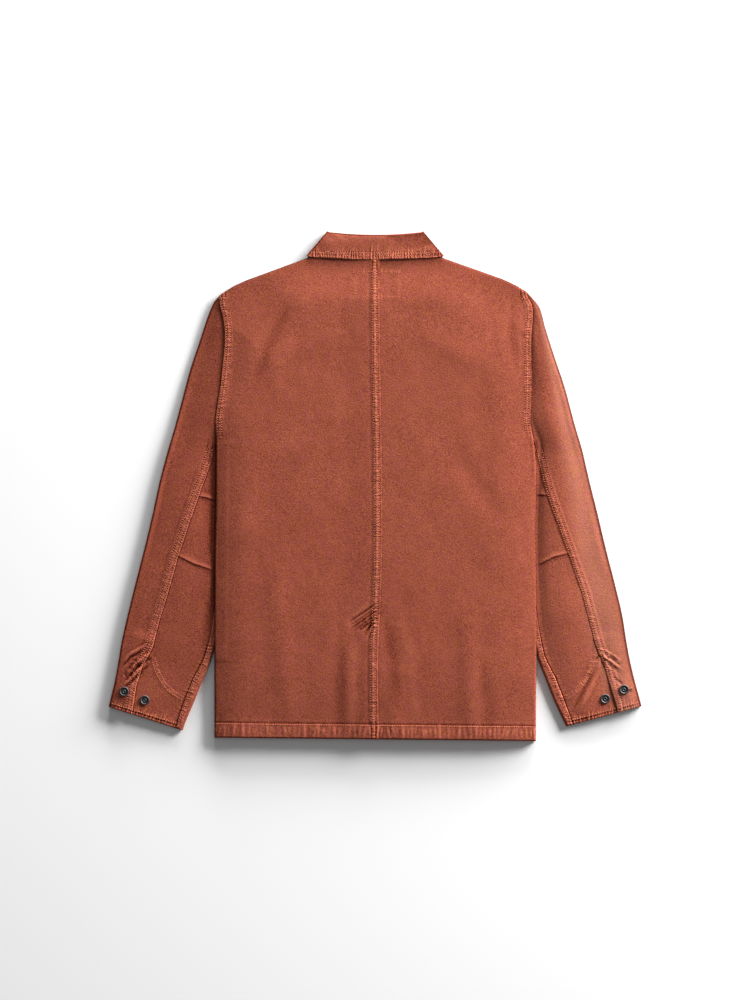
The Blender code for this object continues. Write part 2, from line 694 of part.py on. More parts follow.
def collar_section(place):
    """Outer and inner points of the folded collar: up the stand, over the roll and down the fall."""
    nose = (FALL_LOW + WALL - STAND_LOW) / 2
    middle = STAND_LOW + nose

    def spot(end, distance, radius):
        run = np.array(end) - place.roll
        plan = place.roll + run / np.hypot(*run) * distance
        plan = plan + place.outward * math.cos(place.turn) * radius
        return (*plan, COLLAR_AXIS + math.sin(place.turn) * radius)

    stand = float(np.hypot(*(np.array(place.stand_end) - place.roll)))
    fall = float(np.hypot(*(np.array(place.fall_end) - place.roll)))
    outer, inner = [], []
    for share in (1, 0.6, 0.2):
        distance = nose + (stand - nose) * share
        outer.append(spot(place.stand_end, distance, STAND_LOW))
        inner.append(spot(place.stand_end, distance, STAND_LOW + WALL))
    for angle, end in zip((-90, -45, 0, 45, 90), [place.stand_end] * 3 + [place.fall_end] * 2):
        deep, wide = math.cos(math.radians(angle)), math.sin(math.radians(angle))
        outer.append(spot(end, nose - nose * deep, middle + nose * wide))
        inner.append(spot(end, nose - (nose - WALL) * deep, middle + (nose - WALL) * wide))
    for share in (0.25, 0.55, 0.8, 1):
        distance = nose + (fall - nose) * share
        outer.append(spot(place.fall_end, distance, FALL_LOW + WALL))
        inner.append(spot(place.fall_end, distance, FALL_LOW))
    return outer, inner


def build_collar(finish):
    sections = [collar_section(place) for place in collar_places()]
    outer = np.array([section[0] for section in sections])
    inner = np.array([section[1] for section in sections])
    add_wall("collar", outer, inner, finish)


# Profile of a tack button from its back to the dish in its face: radius share and height.
ButtonRing = namedtuple("ButtonRing", "share height")
BUTTON_RINGS = (
    ButtonRing(0.90, 0.0),
    ButtonRing(1.00, 0.5),
    ButtonRing(0.97, 1.1),
    ButtonRing(0.84, 1.6),
    ButtonRing(0.60, 1.2),
)
BUTTON_HEIGHT = 1.6


def build_button(name, across, up, rest, face, finish):
    """A round tack button; face is 1 where it looks up and -1 where it lies on its face."""
    base = rest if face > 0 else rest + BUTTON_HEIGHT
    points = []
    for ring in BUTTON_RINGS:
        radius = BUTTON_RADIUS * ring.share
        for segment in range(BUTTON_SEGMENTS):
            angle = 2 * math.pi * segment / BUTTON_SEGMENTS
            spot = (across + radius * math.cos(angle), up + radius * math.sin(angle))
            points.append((*spot, base + face * ring.height))
    faces = [tuple(range(BUTTON_SEGMENTS))]
    last = (len(BUTTON_RINGS) - 1) * BUTTON_SEGMENTS
    faces.append(tuple(range(last, last + BUTTON_SEGMENTS)))
    for start in range(0, last, BUTTON_SEGMENTS):
        for segment in range(BUTTON_SEGMENTS):
            a = start + segment
            b = start + (segment + 1) % BUTTON_SEGMENTS
            faces.append((a, b, b + BUTTON_SEGMENTS, a + BUTTON_SEGMENTS))
    add_object(name, points, faces, finish)


def build_cuff_buttons(finish):
    for button in CUFF_BUTTONS:
        sleeve = Sleeve(button.side)
        across, up, _ = sleeve.point(button.row, button.inward, 0)
        under = []
        for step in (-BUTTON_RADIUS, 0, BUTTON_RADIUS):
            for row in (button.row - 0.3, button.row, button.row + 0.3):
                inward = button.inward + step
                lapped = inward < sleeve.seam("elbow", row)
                lift = sleeve.cuff_lap(row, inward) + BAND_RISE if lapped else 0
                under.append(float(sleeve.skin(row, inward) + lift))
        rest = max(under) + SEAM_GAP
        build_button(f"cuff_button_{button.side}_{button.number}", across, up, rest, 1, finish)


def build():
    clear_scene()
    cloth = {}
    pieces = ["back_left", "back_right", "front_left", "front_right", "collar"]
    pieces += [f"sleeve_{side}_{part}" for side in SIGN for part in ("upper", "under")]
    for piece in pieces:
        cloth[piece] = material("cloth_" + piece, CLOTH_RUST, 0.92, 0.0)
    metal = material("gunmetal", BUTTON_GREY, 0.35, 1.0)
    build_back_left(cloth["back_left"])
    build_back_right(cloth["back_right"])
    for side in SIGN:
        build_front(side, cloth["front_" + side])
        build_upper_sleeve(side, cloth[f"sleeve_{side}_upper"])
        build_under_sleeve(side, cloth[f"sleeve_{side}_under"])
    build_collar(cloth["collar"])
    build_cuff_buttons(metal)
    for number, up in enumerate(FRONT_BUTTONS_UP, 1):
        build_button(f"front_button_{number}", 0.0, up, 0.0, -1, metal)


build()
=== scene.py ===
# The looks of a chore jacket that lies face down: cloth, seams, stitching, buttons, floor, light and
# camera. Tables and curves are in millimetres: across is measured from the middle of the back, up from
# the lowest point of the hem, and z from the surface that the jacket lies on.

import math
from collections import namedtuple

import bmesh
import bpy
import numpy as np
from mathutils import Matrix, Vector, kdtree


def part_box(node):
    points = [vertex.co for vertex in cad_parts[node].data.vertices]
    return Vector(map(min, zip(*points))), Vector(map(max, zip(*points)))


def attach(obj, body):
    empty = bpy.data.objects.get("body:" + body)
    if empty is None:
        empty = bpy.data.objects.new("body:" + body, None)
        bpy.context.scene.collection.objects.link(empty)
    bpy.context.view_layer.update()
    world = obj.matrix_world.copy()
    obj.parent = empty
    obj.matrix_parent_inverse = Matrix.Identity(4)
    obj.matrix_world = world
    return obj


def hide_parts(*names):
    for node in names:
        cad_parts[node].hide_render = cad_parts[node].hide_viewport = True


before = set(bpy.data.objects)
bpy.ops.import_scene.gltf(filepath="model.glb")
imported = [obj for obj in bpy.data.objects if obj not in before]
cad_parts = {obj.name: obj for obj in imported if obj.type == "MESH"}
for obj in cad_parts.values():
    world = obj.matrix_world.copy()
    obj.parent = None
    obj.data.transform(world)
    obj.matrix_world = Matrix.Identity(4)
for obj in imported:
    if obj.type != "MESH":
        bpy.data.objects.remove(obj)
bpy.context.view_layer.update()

MM = 0.001
# Cloth
WALL = 1.0
SEAM_GAP = 0.4
LENGTH = 764.0

# Neck and collar
NECK_HALF = 90.0
NECK_POINT = 733.0
BACK_NECK_DEPTH = 4.5
FRONT_NECK_DEPTH = 71.0
STAND_LOW = 0.4
FALL_LOW = STAND_LOW + WALL + SEAM_GAP
COLLAR_AXIS = FALL_LOW + WALL
COLLAR_LIFT = COLLAR_AXIS - STAND_LOW - WALL
LEAF_EASE = (70.0, 20.0)
ROLL_HALF = 69.5
ROLL_CORNER = 763.0
ROLL_DIP = 4.0
FALL_HALF = 100.7
FALL_CORNER = 726.2
FALL_DIP = 4.5
COLLAR_TIP_ACROSS = 42.0
COLLAR_TIP_UP = 628.0
COLLAR_FRONT_END = 4.0
COLLAR_FRONT_ROLL = 69.0

# Body
HEM_DEPTH = 22.5
HEM_MIDDLE = 2.5
HEM_SLOPE = -0.0105
SEAM_BAND = 12.0
ARMHOLE_BAND = 10.5
BAND_STEP = 1.5
ARMPIT = 459.0
ROW_TOP = 700.0
BACK_LEVEL = 6.6
ARMHOLE_LEVEL = 5.0
HEM_LEVEL = 5.4
ARMHOLE_EASE = 60.0
HEM_EASE = 110.0
SHOULDER_EASE = 130.0
SHOULDER_LEVEL = 3.9
SIDE_LEVEL = 6.4
NECK_EASE = 65.0
NECK_FLAT = 15.0
NECK_SPREAD = (FALL_HALF + 4, FALL_HALF + 70)
ROW_LEVEL_END = (60.0, 200.0)
ROW_FOLLOW_START = 250.0
ARMPIT_FADE = (435.0, 530.0)
ARMPIT_EDGE = (448.0, 480.0)
ARMHOLE_BAND_START = (ARMPIT, 480.0)

# Centre back vent
VENT_TOP = 172.0
VENT_STEP = 4.0
VENT_UNDERLAP = 14.0
VENT_EASE = 26.0
VENT_FADE = (VENT_TOP + VENT_STEP, 200.0)
LAP_LIFT = WALL + 0.5

# Fronts
FRONT_LAP = 14.0
BUTTON_LIFT = 2.0
BUTTON_STRIP = 9.0
STRIP_EASE = 45.0
STRIP_START = (60.0, 120.0)
STRIP_END = (645.0, 665.0)
LAP_END = (668.0, 705.0)
SLEEVE_LIFT = {"left": 5.4, "right": 5.0}
SLEEVE_STRIP = 16.0
SIDE_EASE = 50.0
SLEEVE_STRIP_START = (80.0, 125.0)

# Sleeves
INNER_FLAT = 16.0
CUFF_UNDERLAP = 14.0
CUFF_LAP_EASE = (20.0, 45.0)

# Buttons
BUTTON_RADIUS = 7.25

Side = namedtuple("Side", "up left right")
SIDES = (
    Side(0, 241.0, 241.0),
    Side(130, 241.0, 241.5),
    Side(300, 240.0, 240.0),
    Side(450, 238.5, 237.5),
    Side(482, 239.0, 232.5),
    Side(505, 236.0, 233.5),
    Side(530, 232.0, 234.0),
    Side(558, 229.0, 234.0),
    Side(590, 226.0, 233.5),
    Side(612, 225.5, 234.0),
    Side(635, 228.0, 236.0),
    Side(655, 233.0, 234.0),
    Side(668, 233.5, 227.0),
)

Shoulder = namedtuple("Shoulder", "across left right")
SHOULDERS = (
    Shoulder(90, 733.0, 733.0),
    Shoulder(103, 724.0, 724.0),
    Shoulder(192, 691.5, 692.5),
    Shoulder(211, 683.0, 683.5),
    Shoulder(227, 673.0, 674.0),
    Shoulder(234, 668.0, 669.0),
)

CentreSeam = namedtuple("CentreSeam", "up across")
CENTRE_SEAM = (
    CentreSeam(0, 5.0),
    CentreSeam(150, 5.0),
    CentreSeam(210, 8.0),
    CentreSeam(660, 6.5),
    CentreSeam(735, 6.5),
)

# A soft fold of the back: a ridge where its height is positive, a trough where it is negative.
FOLD_START = (-0.15, 0.2)
FOLD_STOP = (0.8, 1.15)
Fold = namedtuple("Fold", "from_across from_up to_across to_up breadth height")
BACK_FOLDS = (
    Fold(-38, 12, -40, 150, 26, 1.0),
    Fold(30, 12, 34, 120, 24, 0.9),
    Fold(142, 12, 138, 200, 30, 0.8),
    Fold(-130, 20, -150, 260, 34, 0.7),
    Fold(-190, 330, -120, 420, 34, -0.7),
    Fold(190, 330, 120, 430, 34, -0.7),
    Fold(-175, 560, -60, 610, 36, 0.6),
    Fold(175, 560, 60, 610, 36, 0.6),
)

# A sleeve row is a straight line over the sleeve from its outer fold to its inner one. tuck is how far
# the inner fold lies under the body's side. elbow and under are the two seams, as shares of the line.
SleeveRow = namedtuple("SleeveRow", "outer_across outer_up inner_up tuck elbow under")
SLEEVES = {
    "left": (
        SleeveRow(235.0, 666.0, 661.5, -0.4, 1.0, 1.0),
        SleeveRow(243.0, 655.5, 649.5, -0.4, 1.0, 1.0),
        SleeveRow(251.5, 635.0, 628.5, -0.4, 1.0, 1.0),
        SleeveRow(263.5, 598.5, 589.5, -0.4, 1.0, 1.0),
        SleeveRow(277.5, 556.5, 544.5, -0.4, 1.0, 1.0),
        SleeveRow(289.5, 511.5, 496.5, -0.4, 1.0, 1.0),
        SleeveRow(299.5, 474.0, 457.5, -0.4, 1.0, 1.0),
        SleeveRow(310.5, 436.5, 418.5, 8.0, 0.815, 0.95),
        SleeveRow(322.5, 391.5, 370.5, 10.5, 0.655, 0.94),
        SleeveRow(334.0, 339.0, 316.5, 12.0, 0.52, 0.94),
        SleeveRow(346.5, 286.5, 262.5, 12.0, 0.43, 0.94),
        SleeveRow(360.0, 234.0, 208.5, 9.0, 0.39, 0.94),
        SleeveRow(371.0, 189.0, 162.0, 4.5, 0.35, 0.93),
        SleeveRow(379.5, 151.5, 122.0, -4.5, 0.345, 0.92),
        SleeveRow(384.5, 121.5, 90.0, -17.5, 0.285, 0.89),
        SleeveRow(390.0, 91.5, 58.5, -30.5, 0.27, 0.885),
        SleeveRow(396.0, 66.0, 31.5, -42.0, 0.30, 0.90),
        SleeveRow(399.4, 51.5, 16.0, -47.5, 0.315, 0.915),
    ),
    "right": (
        SleeveRow(227.6, 673.4, 668.0, -0.4, 1.0, 1.0),
        SleeveRow(242.0, 657.0, 653.0, -0.4, 1.0, 1.0),
        SleeveRow(248.5, 645.0, 640.5, -0.4, 1.0, 1.0),
        SleeveRow(256.0, 616.5, 607.5, -0.4, 1.0, 1.0),
        SleeveRow(269.5, 574.5, 562.5, -0.4, 1.0, 1.0),
        SleeveRow(284.5, 529.5, 514.5, -0.4, 1.0, 1.0),
        SleeveRow(299.0, 475.5, 457.5, -0.4, 1.0, 1.0),
        SleeveRow(310.5, 436.5, 418.5, 8.0, 0.86, 0.95),
        SleeveRow(321.0, 391.5, 370.5, 10.5, 0.73, 0.94),
        SleeveRow(334.0, 339.0, 316.5, 12.0, 0.58, 0.94),
        SleeveRow(346.5, 286.5, 262.5, 12.0, 0.47, 0.94),
        SleeveRow(360.0, 234.0, 208.5, 9.0, 0.40, 0.94),
        SleeveRow(370.5, 189.0, 163.5, 5.0, 0.375, 0.93),
        SleeveRow(376.5, 151.5, 124.5, -2.0, 0.345, 0.92),
        SleeveRow(382.0, 121.5, 93.0, -14.0, 0.305, 0.89),
        SleeveRow(389.0, 91.5, 61.5, -26.5, 0.30, 0.885),
        SleeveRow(396.0, 66.0, 36.0, -38.5, 0.305, 0.90),
        SleeveRow(399.4, 52.5, 22.0, -45.5, 0.315, 0.915),
    ),
}
ARMPIT_ROW = 6.0
UNDER_START_ROW = 6.35
BAND_ROWS = (7.0, 8.0)
CUFF_LAP_ROWS = (12.4, 12.8)
CUFF_UNDERLAP_ROWS = (12.85, 13.15)

SIGN = {"left": -1, "right": 1}


def ease(start, end, value):
    """0 before start and 1 after end, with a smooth step between them."""
    share = np.clip((value - start) / (end - start), 0, 1)
    return share * share * (3 - 2 * share)


def through(keys, values):
    """A smooth function through the points (keys, values), level beyond its ends."""
    keys = np.asarray(keys, float)
    values = np.asarray(values, float)
    slopes = np.gradient(values, keys)

    def at(key):
        key = np.clip(key, keys[0], keys[-1])
        index = np.clip(np.searchsorted(keys, key, side="right") - 1, 0, len(keys) - 2)
        span = keys[index + 1] - keys[index]
        part = (key - keys[index]) / span
        rest = 1 - part
        start = rest * rest * (values[index] * (1 + 2 * part) + slopes[index] * span * part)
        end = part * part * (values[index + 1] * (1 + 2 * rest) - slopes[index + 1] * span * rest)
        return start + end

    return at


def through_rows(keys, values, places):
    """The smooth functions through the points (keys, a row of values), each read at its row of places."""
    keys = np.asarray(keys, float)
    slopes = np.gradient(values, keys, axis=1)
    index = np.clip(np.searchsorted(keys, places, side="right") - 1, 0, len(keys) - 2)
    span = keys[index + 1] - keys[index]
    part = (places - keys[index]) / span
    rest = 1 - part
    value, slope = np.take_along_axis(values, index, 1), np.take_along_axis(slopes, index, 1)
    later, later_slope = np.take_along_axis(values, index + 1, 1), np.take_along_axis(slopes, index + 1, 1)
    start = rest * rest * (value * (1 + 2 * part) + slope * span * part)
    return start + part * part * (later * (1 + 2 * rest) - later_slope * span * rest)


def table_curve(rows, key, value):
    return through([getattr(row, key) for row in rows], [getattr(row, value) for row in rows])


SIDE_CURVES = {side: table_curve(SIDES, "up", side) for side in SIGN}
CENTRE_SEAM_CURVE = table_curve(CENTRE_SEAM, "up", "across")


def shoulder_line(side, distance):
    """Height of the shoulder line at a distance from the middle: straight from row to row."""
    across = [row.across for row in SHOULDERS]
    return np.interp(distance, across, [getattr(row, side) for row in SHOULDERS])


def back_top(side, across):
    distance = np.abs(across)
    neckline = NECK_POINT - BACK_NECK_DEPTH * (1 - (distance / NECK_HALF) ** 2)
    return np.where(distance < NECK_HALF, neckline, shoulder_line(side, distance))


def front_top(side, across):
    distance = np.abs(across)
    share = np.clip(distance / NECK_HALF, 0, 1)
    neckline = NECK_POINT - FRONT_NECK_DEPTH * np.sqrt(1 - share * share)
    return np.where(distance < NECK_HALF, neckline, shoulder_line(side, distance))


def hem_line(across):
    return HEM_MIDDLE + HEM_SLOPE * across


def nearer_side(across, up):
    """Distance of the body's edge from the middle, on the side that across is on."""
    return np.where(across < 0, SIDE_CURVES["left"](up), SIDE_CURVES["right"](up))


def front_rest(across, up):
    """Height of the fronts' underside: 0 but for what lies under them."""
    distance = np.abs(across)
    inset = nearer_side(across, up) - distance
    beside = 1 - ease(SLEEVE_STRIP, SIDE_EASE, inset)
    along = ease(*SLEEVE_STRIP_START, up) * (1 - ease(*ARMPIT_FADE, up))
    over_sleeve = np.where(across < 0, SLEEVE_LIFT["left"], SLEEVE_LIFT["right"]) * beside * along
    over_buttons = BUTTON_LIFT * (1 - ease(BUTTON_STRIP, STRIP_EASE, distance))
    over_buttons = over_buttons * ease(*STRIP_START, up) * (1 - ease(*STRIP_END, up))
    leaf_slope = (FALL_CORNER - COLLAR_TIP_UP) / (FALL_HALF - COLLAR_TIP_ACROSS)
    leaf_edge = COLLAR_TIP_UP + leaf_slope * np.abs(distance - COLLAR_TIP_ACROSS)
    over_collar = COLLAR_LIFT * ease(leaf_edge - LEAF_EASE[0], leaf_edge - LEAF_EASE[1], up)
    return np.maximum(np.maximum(over_sleeve, over_buttons), over_collar)


def lap_rise(across, up):
    """How much higher the right front lies where the left front is under it."""
    beside = 1 - ease(FRONT_LAP + BAND_STEP, STRIP_EASE, np.abs(across))
    return (WALL + SEAM_GAP) * beside * (1 - ease(*LAP_END, up))


def fold_height(fold, across, up):
    """A fold is highest along its line and fades out over its breadth and at both ends."""
    along_across = fold.to_across - fold.from_across
    along_up = fold.to_up - fold.from_up
    length = math.hypot(along_across, along_up)
    part = ((across - fold.from_across) * along_across + (up - fold.from_up) * along_up) / length**2
    off = (across - fold.from_across) * along_up - (up - fold.from_up) * along_across
    ends = ease(*FOLD_START, part) * (1 - ease(*FOLD_STOP, part))
    return fold.height * ends * np.exp(-((off / length / (fold.breadth / 2)) ** 2))


def edge_level(level, start, reach, inset):
    """Height near an edge: level at its start, rising to the back's own level over its reach."""
    return level + (BACK_LEVEL - level) * ease(start, start + reach, inset)


def back_rest(across, up):
    """Height of the backs' underside: almost level, and lower round its edges, but over the fronts."""
    distance = np.abs(across)
    front = front_rest(across, up) + lap_rise(across, up) + WALL + SEAM_GAP
    edge = nearer_side(across, up)
    over_front = front_rest(np.copysign(edge, across), up) + WALL + SEAM_GAP
    above_armpit = ease(*ARMPIT_FADE, up)
    beside = np.maximum(over_front, SIDE_LEVEL) * (1 - above_armpit) + ARMHOLE_LEVEL * above_armpit
    side = edge_level(beside, 0, ARMHOLE_EASE, edge - distance)
    hem = edge_level(HEM_LEVEL, 0, HEM_EASE, up - hem_line(across))
    line = np.where(across < 0, shoulder_line("left", distance), shoulder_line("right", distance))
    shoulder = edge_level(SHOULDER_LEVEL, 0, SHOULDER_EASE, line - up)
    neck_level = COLLAR_LIFT + WALL + 2 * SEAM_GAP
    neck = edge_level(neck_level, NECK_FLAT, NECK_EASE, NECK_POINT - up)
    share = ease(*NECK_SPREAD, distance)
    top = neck * (1 - share) + np.minimum(shoulder, neck) * share
    folds = sum(fold_height(fold, across, up) for fold in BACK_FOLDS)
    return np.maximum(np.minimum(np.minimum(side, hem), top) + folds, front)


def row_height(side, top_line, across, row):
    """Rows are level near the hem and follow the shoulder and neck line at the top."""
    hem = hem_line(across) * (1 - ease(*ROW_LEVEL_END, row))
    return row + hem + (top_line(side, across) - ROW_TOP) * ease(ROW_FOLLOW_START, ROW_TOP, row)


# The scene's own sizes

STEP = 4
EDGE_OFFSETS = (0, 0.25, 0.6, 1.1, 1.8)
SEAM_COLUMNS = np.array([*EDGE_OFFSETS, 2.9, 4.0, 5.1, 6.2, 7.3, 8.4, 9.5, 10.6, 11.6, 12.6, 13.8, 15.2])
PANEL_COLUMNS = 137
PANEL_ROWS = 561
FRONT_COLUMNS = 61
FRONT_ROWS = 161
EDGE_ROLL = 2.2
BODY_LOFT = 3.8
LOFT_REACH = {"left": 48.0, "right": 75.0}
ARMHOLE_INSET = 3.0
ARMHOLE_SHARE = 0.75
HEM_SHARE = 0.85
NECK_SHARE = 0.5
GROOVE = 0.3
BAND_TONE = 0.25
# Painted shade in the grooves of the rows of stitches.
GROOVE_SHADE = 0.45
PEBBLE_TONE = 0.45
# Painted shadow under the elbow tucks' folds.
TUCK_SHADOW = 1.3
# Painted light and shade along the vent's pleats, by their height.
PLEAT_SHADING = -0.35
PLEAT_DEPTH = 0.8
# Painted highlights along the upper sleeves' elbow edges.
EDGE_HIGHLIGHT = {"left": 0.6, "right": 0.35}
# Painted shade on the sleeves' outer rims.
RIM_SHADE = {"left": 1.0, "right": 1.6}
# Painted shade along the backs' side edges.
SIDE_SHADE = {"left": 1.0, "right": 0.7}
# Painted shadow on the sleeves beside the body's edges.
CONTACT_SHADOW = {"left": 0.8, "right": 0.3}
# Painted shade on the left under sleeve towards the body.
INNER_SHADE = {"left": 0.4, "right": 0.0}
ARMHOLE_EDGE = {"left": 0.7, "right": 0.85}
# A painted highlight line along each armhole seam.
ARMHOLE_HIGHLIGHT = {"left": 0.5, "right": 0.1}
SLEEVE_BAND_TONE = {"left": 0.05, "right": -0.1}
SEAM_LIFT = 0.9
SEAM_LIFT_EASE = (14.0, 60.0)
SEAM_RISE = 0.45
BAND_EDGE = 3.0
UNDER_LAP = 3.6
UNDER_DIP = 0.5
FRONT_INSET = 3.0
HIDDEN_WALL = 1.0
EDGE_WALL = 0.3
STITCH_PITCH = 3.6
STITCH_LENGTH = 2.3
THREAD_RADIUS = 0.5

# Rows of stitches, by their distance from the seam or edge that they follow. The thread of the hem and
# of the cuff lies a little beside its groove.
CENTRE_ROWS = (4.2, 11.0)
ARMHOLE_ROWS = (3.2, 9.2)
ELBOW_ROWS = (2.5, 10.0)
UNDER_ROW = 3.4
HEM_GROOVE = 23.6
HEM_THREAD = 21.4
CUFF_GROOVE = 4.5
CUFF_THREAD = 7.0
ARMHOLE_START = (450, 470)


def blurred(values, reach):
    """Mean over a square of grid points on each side, level beyond the grid's edges."""
    for axis in (0, 1):
        pad = [(0, 0), (0, 0)]
        pad[axis] = (reach + 1, reach)
        total = np.cumsum(np.pad(values, pad, mode="edge"), axis=axis)
        size = values.shape[axis]
        upper = np.take(total, range(2 * reach + 1, 2 * reach + 1 + size), axis=axis)
        lower = np.take(total, range(size), axis=axis)
        values = (upper - lower) / (2 * reach + 1)
    return values


def mottle(seed, across, up, size):
    """Smooth uneven values from -1 to 1, in lumps of about one size."""
    lattice = np.random.default_rng(seed).uniform(-1, 1, (97, 97))
    column, row = across / size + 48, up / size + 8
    i, j = np.floor(column).astype(int) % 96, np.floor(row).astype(int) % 96
    right, over = ease(0, 1, column - np.floor(column)), ease(0, 1, row - np.floor(row))
    low = lattice[i, j] * (1 - right) + lattice[i + 1, j] * right
    high = lattice[i, j + 1] * (1 - right) + lattice[i + 1, j + 1] * right
    return low * (1 - over) + high * over


class Puckers:
    """Uneven little ridges across a seam. Each has its own place, height, reach and slant."""

    def __init__(self, seed, length, spacing, height, reach, slant=0.0):
        rng = np.random.default_rng(seed)
        count = int(length / spacing) + 3
        self.at = (np.cumsum(rng.uniform(0.5, 1.5, count)) - 1) * spacing
        self.height = height * rng.uniform(0.3, 1.0, count)
        self.reach = reach * rng.uniform(0.5, 1.25, count)
        self.slant = slant + rng.uniform(-0.3, 0.3, count)

    def __call__(self, along, off):
        """Height at a distance along the seam and off it."""
        leaning = along - off * np.interp(along, self.at, self.slant)
        middles = (self.at[1:] + self.at[:-1]) / 2
        number = np.searchsorted(middles, leaning)
        before = np.concatenate([[self.at[0] - 1], middles])[number]
        after = np.concatenate([middles, [self.at[-1] + 1]])[number]
        centre = self.at[number]
        half = np.where(leaning < centre, centre - before, after - centre)
        share = np.clip((leaning - centre) / half, -1, 1)
        ridge = np.cos(share * math.pi / 2) ** 2
        return self.height[number] * ridge * np.exp(-((off / self.reach[number]) ** 2))


# A soft crease through a row of points: a ridge where its height is positive, else a trough.
Crease = namedtuple("Crease", "points breadth height")


def path_frame(points, across, up, reach):
    """Share along a path, distance along it and signed distance off it, for the points near it."""
    points = np.array(points, float)
    spans = np.hypot(*np.diff(points, axis=0).T)
    low, high = points.min(0) - reach, points.max(0) + reach
    near = (across > low[0]) & (across < high[0]) & (up > low[1]) & (up < high[1])
    x, y = across[near], up[near]
    nearest, along, side = np.full(x.shape, 1e9), np.zeros(x.shape), np.ones(x.shape)
    done = 0.0
    for start, end, span in zip(points, points[1:], spans):
        direction = (end - start) / span
        run = (x - start[0]) * direction[0] + (y - start[1]) * direction[1]
        run = np.clip(run, 0, span)
        off = np.hypot(x - start[0] - run * direction[0], y - start[1] - run * direction[1])
        closer = off < nearest
        nearest = np.where(closer, off, nearest)
        along = np.where(closer, done + run, along)
        cross = (x - start[0]) * direction[1] - (y - start[1]) * direction[0]
        side = np.where(closer, np.where(cross < 0, -1, 1), side)
        done += span
    return near, along / done, along, nearest * side


def crease_height(crease, across, up):
    """Height of a crease: full along its middle, narrowing and fading out at both ends."""
    near, share, _, off = path_frame(crease.points, across, up, 2.5 * crease.breadth)
    taper = np.sin(np.pi * np.clip(share, 0.02, 0.98)) ** 0.6
    height = np.zeros(across.shape)
    height[near] = crease.height * taper * np.exp(-((off / (crease.breadth * (0.5 + 0.5 * taper))) ** 2))
    return height


def stitched_path(puckers, points, across, up):
    """Puckers along a stitched path, fading out at its ends."""
    near, share, along, off = path_frame(points, across, up, 12.0)
    height = np.zeros(across.shape)
    height[near] = puckers(along, off) * np.sin(np.pi * np.clip(share, 0.02, 0.98)) ** 0.3
    return height


TUCK_REACH = (6.0, 0.7)
TUCK_HEIGHT = 0.5
TUCK_NEAR = 25.0


def tuck_frame(points, across, up):
    """The points near a tuck's line, their distance under it and how full the tuck is there."""
    near, share, _, off = path_frame(points, across, up, TUCK_NEAR)
    full = np.sin(np.pi * np.clip(share, 0.03, 0.97)) ** 0.25
    return near, off * np.sign(points[-1][0] - points[0][0]), full


def tuck_height(points, across, up):
    """A sewn tuck: the cloth above it swells down to its line and steps under there."""
    near, below, full = tuck_frame(points, across, up)
    reach = np.where(below < 0, TUCK_REACH[0], TUCK_REACH[1])
    height = np.zeros(across.shape)
    height[near] = TUCK_HEIGHT * full * np.exp(-((below / reach) ** 2))
    return height


def tuck_line(points, across, up):
    """1 just under a tuck's line, where the painted shadow under the tuck goes."""
    near, below, full = tuck_frame(points, across, up)
    line = np.zeros(across.shape)
    line[near] = np.exp(-(((below - 0.8) / 0.9) ** 2)) * full
    return line


def creased(creases, across, up):
    return sum((crease_height(crease, across, up) for crease in creases), np.zeros(across.shape))


BACK_PLEATS = (
    Crease(((4, 208), (-16, 194), (-40, 178)), 1.7, -1.2),
    Crease(((1, 203), (-15, 191.5), (-36, 177)), 1.5, 0.35),
    Crease(((4, 202.5), (-14, 190), (-38, 173)), 1.6, -1.1),
    Crease(((4, 197), (-16, 183), (-37, 168)), 1.8, -1.3),
    Crease(((0, 192), (-14, 182), (-30, 171)), 1.4, 0.4),
    Crease(((4, 191.5), (-13, 180), (-32, 166)), 1.6, -1.1),
    Crease(((4, 186), (-11, 176), (-25, 165)), 1.8, -1.3),
    Crease(((4, 181), (-8, 172), (-18, 162)), 1.7, -1.1),
    Crease(((-4, 182), (-8, 171), (-17, 155)), 1.9, -0.8),
    Crease(((-1, 173), (-5, 165), (-11, 153)), 1.8, -0.7),
)
BACK_CREASES = (
    Crease(((-50, 190), (-53, 110), (-56, 10)), 13.0, -0.2),
    Crease(((-28, 165), (-34, 110), (-38, 10)), 12.0, 0.32),
    Crease(((14, 190), (28, 115), (40, 20)), 11.0, -0.35),
    Crease(((36, 190), (54, 120), (62, 20)), 13.0, 0.35),
    Crease(((-133, 645), (-158, 595), (-176, 545)), 13.0, -0.7),
    Crease(((-120, 610), (-140, 560), (-150, 520)), 15.0, 0.3),
    Crease(((205, 640), (206, 600), (212, 560)), 9.0, -0.3),
    Crease(((150, 600), (170, 480), (176, 380)), 24.0, -0.4),
    Crease(((172, 8), (167, 60), (160, 120)), 15.0, -0.42),
)
LABEL = ((-30.2, 703.5), (34.3, 703.5), (34.3, 665.0), (-30.2, 665.0), (-30.2, 703.5))

# The scene's own looks of the cloth


def node_of(tree, kind, **values):
    made = tree.nodes.new(kind)
    for name, value in values.items():
        if hasattr(made, name):
            setattr(made, name, value)
        else:
            made.inputs[name.replace("_", " ")].default_value = value
    return made


# The darkest end of the cloth's colours, reached only by painted shade in creases, grooves and rims.
SHADE_RUST = (0.022, 0.0035, 0.0016)
DARK_RUST = (0.120, 0.0195, 0.0095)
LIGHT_RUST = (0.492, 0.137, 0.082)
# A paler, greyer colour painted on the right sleeve as a highlight.
HIGHLIGHT_RUST = (0.62, 0.345, 0.25)
DARK_THREAD = (0.36, 0.09, 0.05)
LIGHT_THREAD = (0.68, 0.26, 0.16)


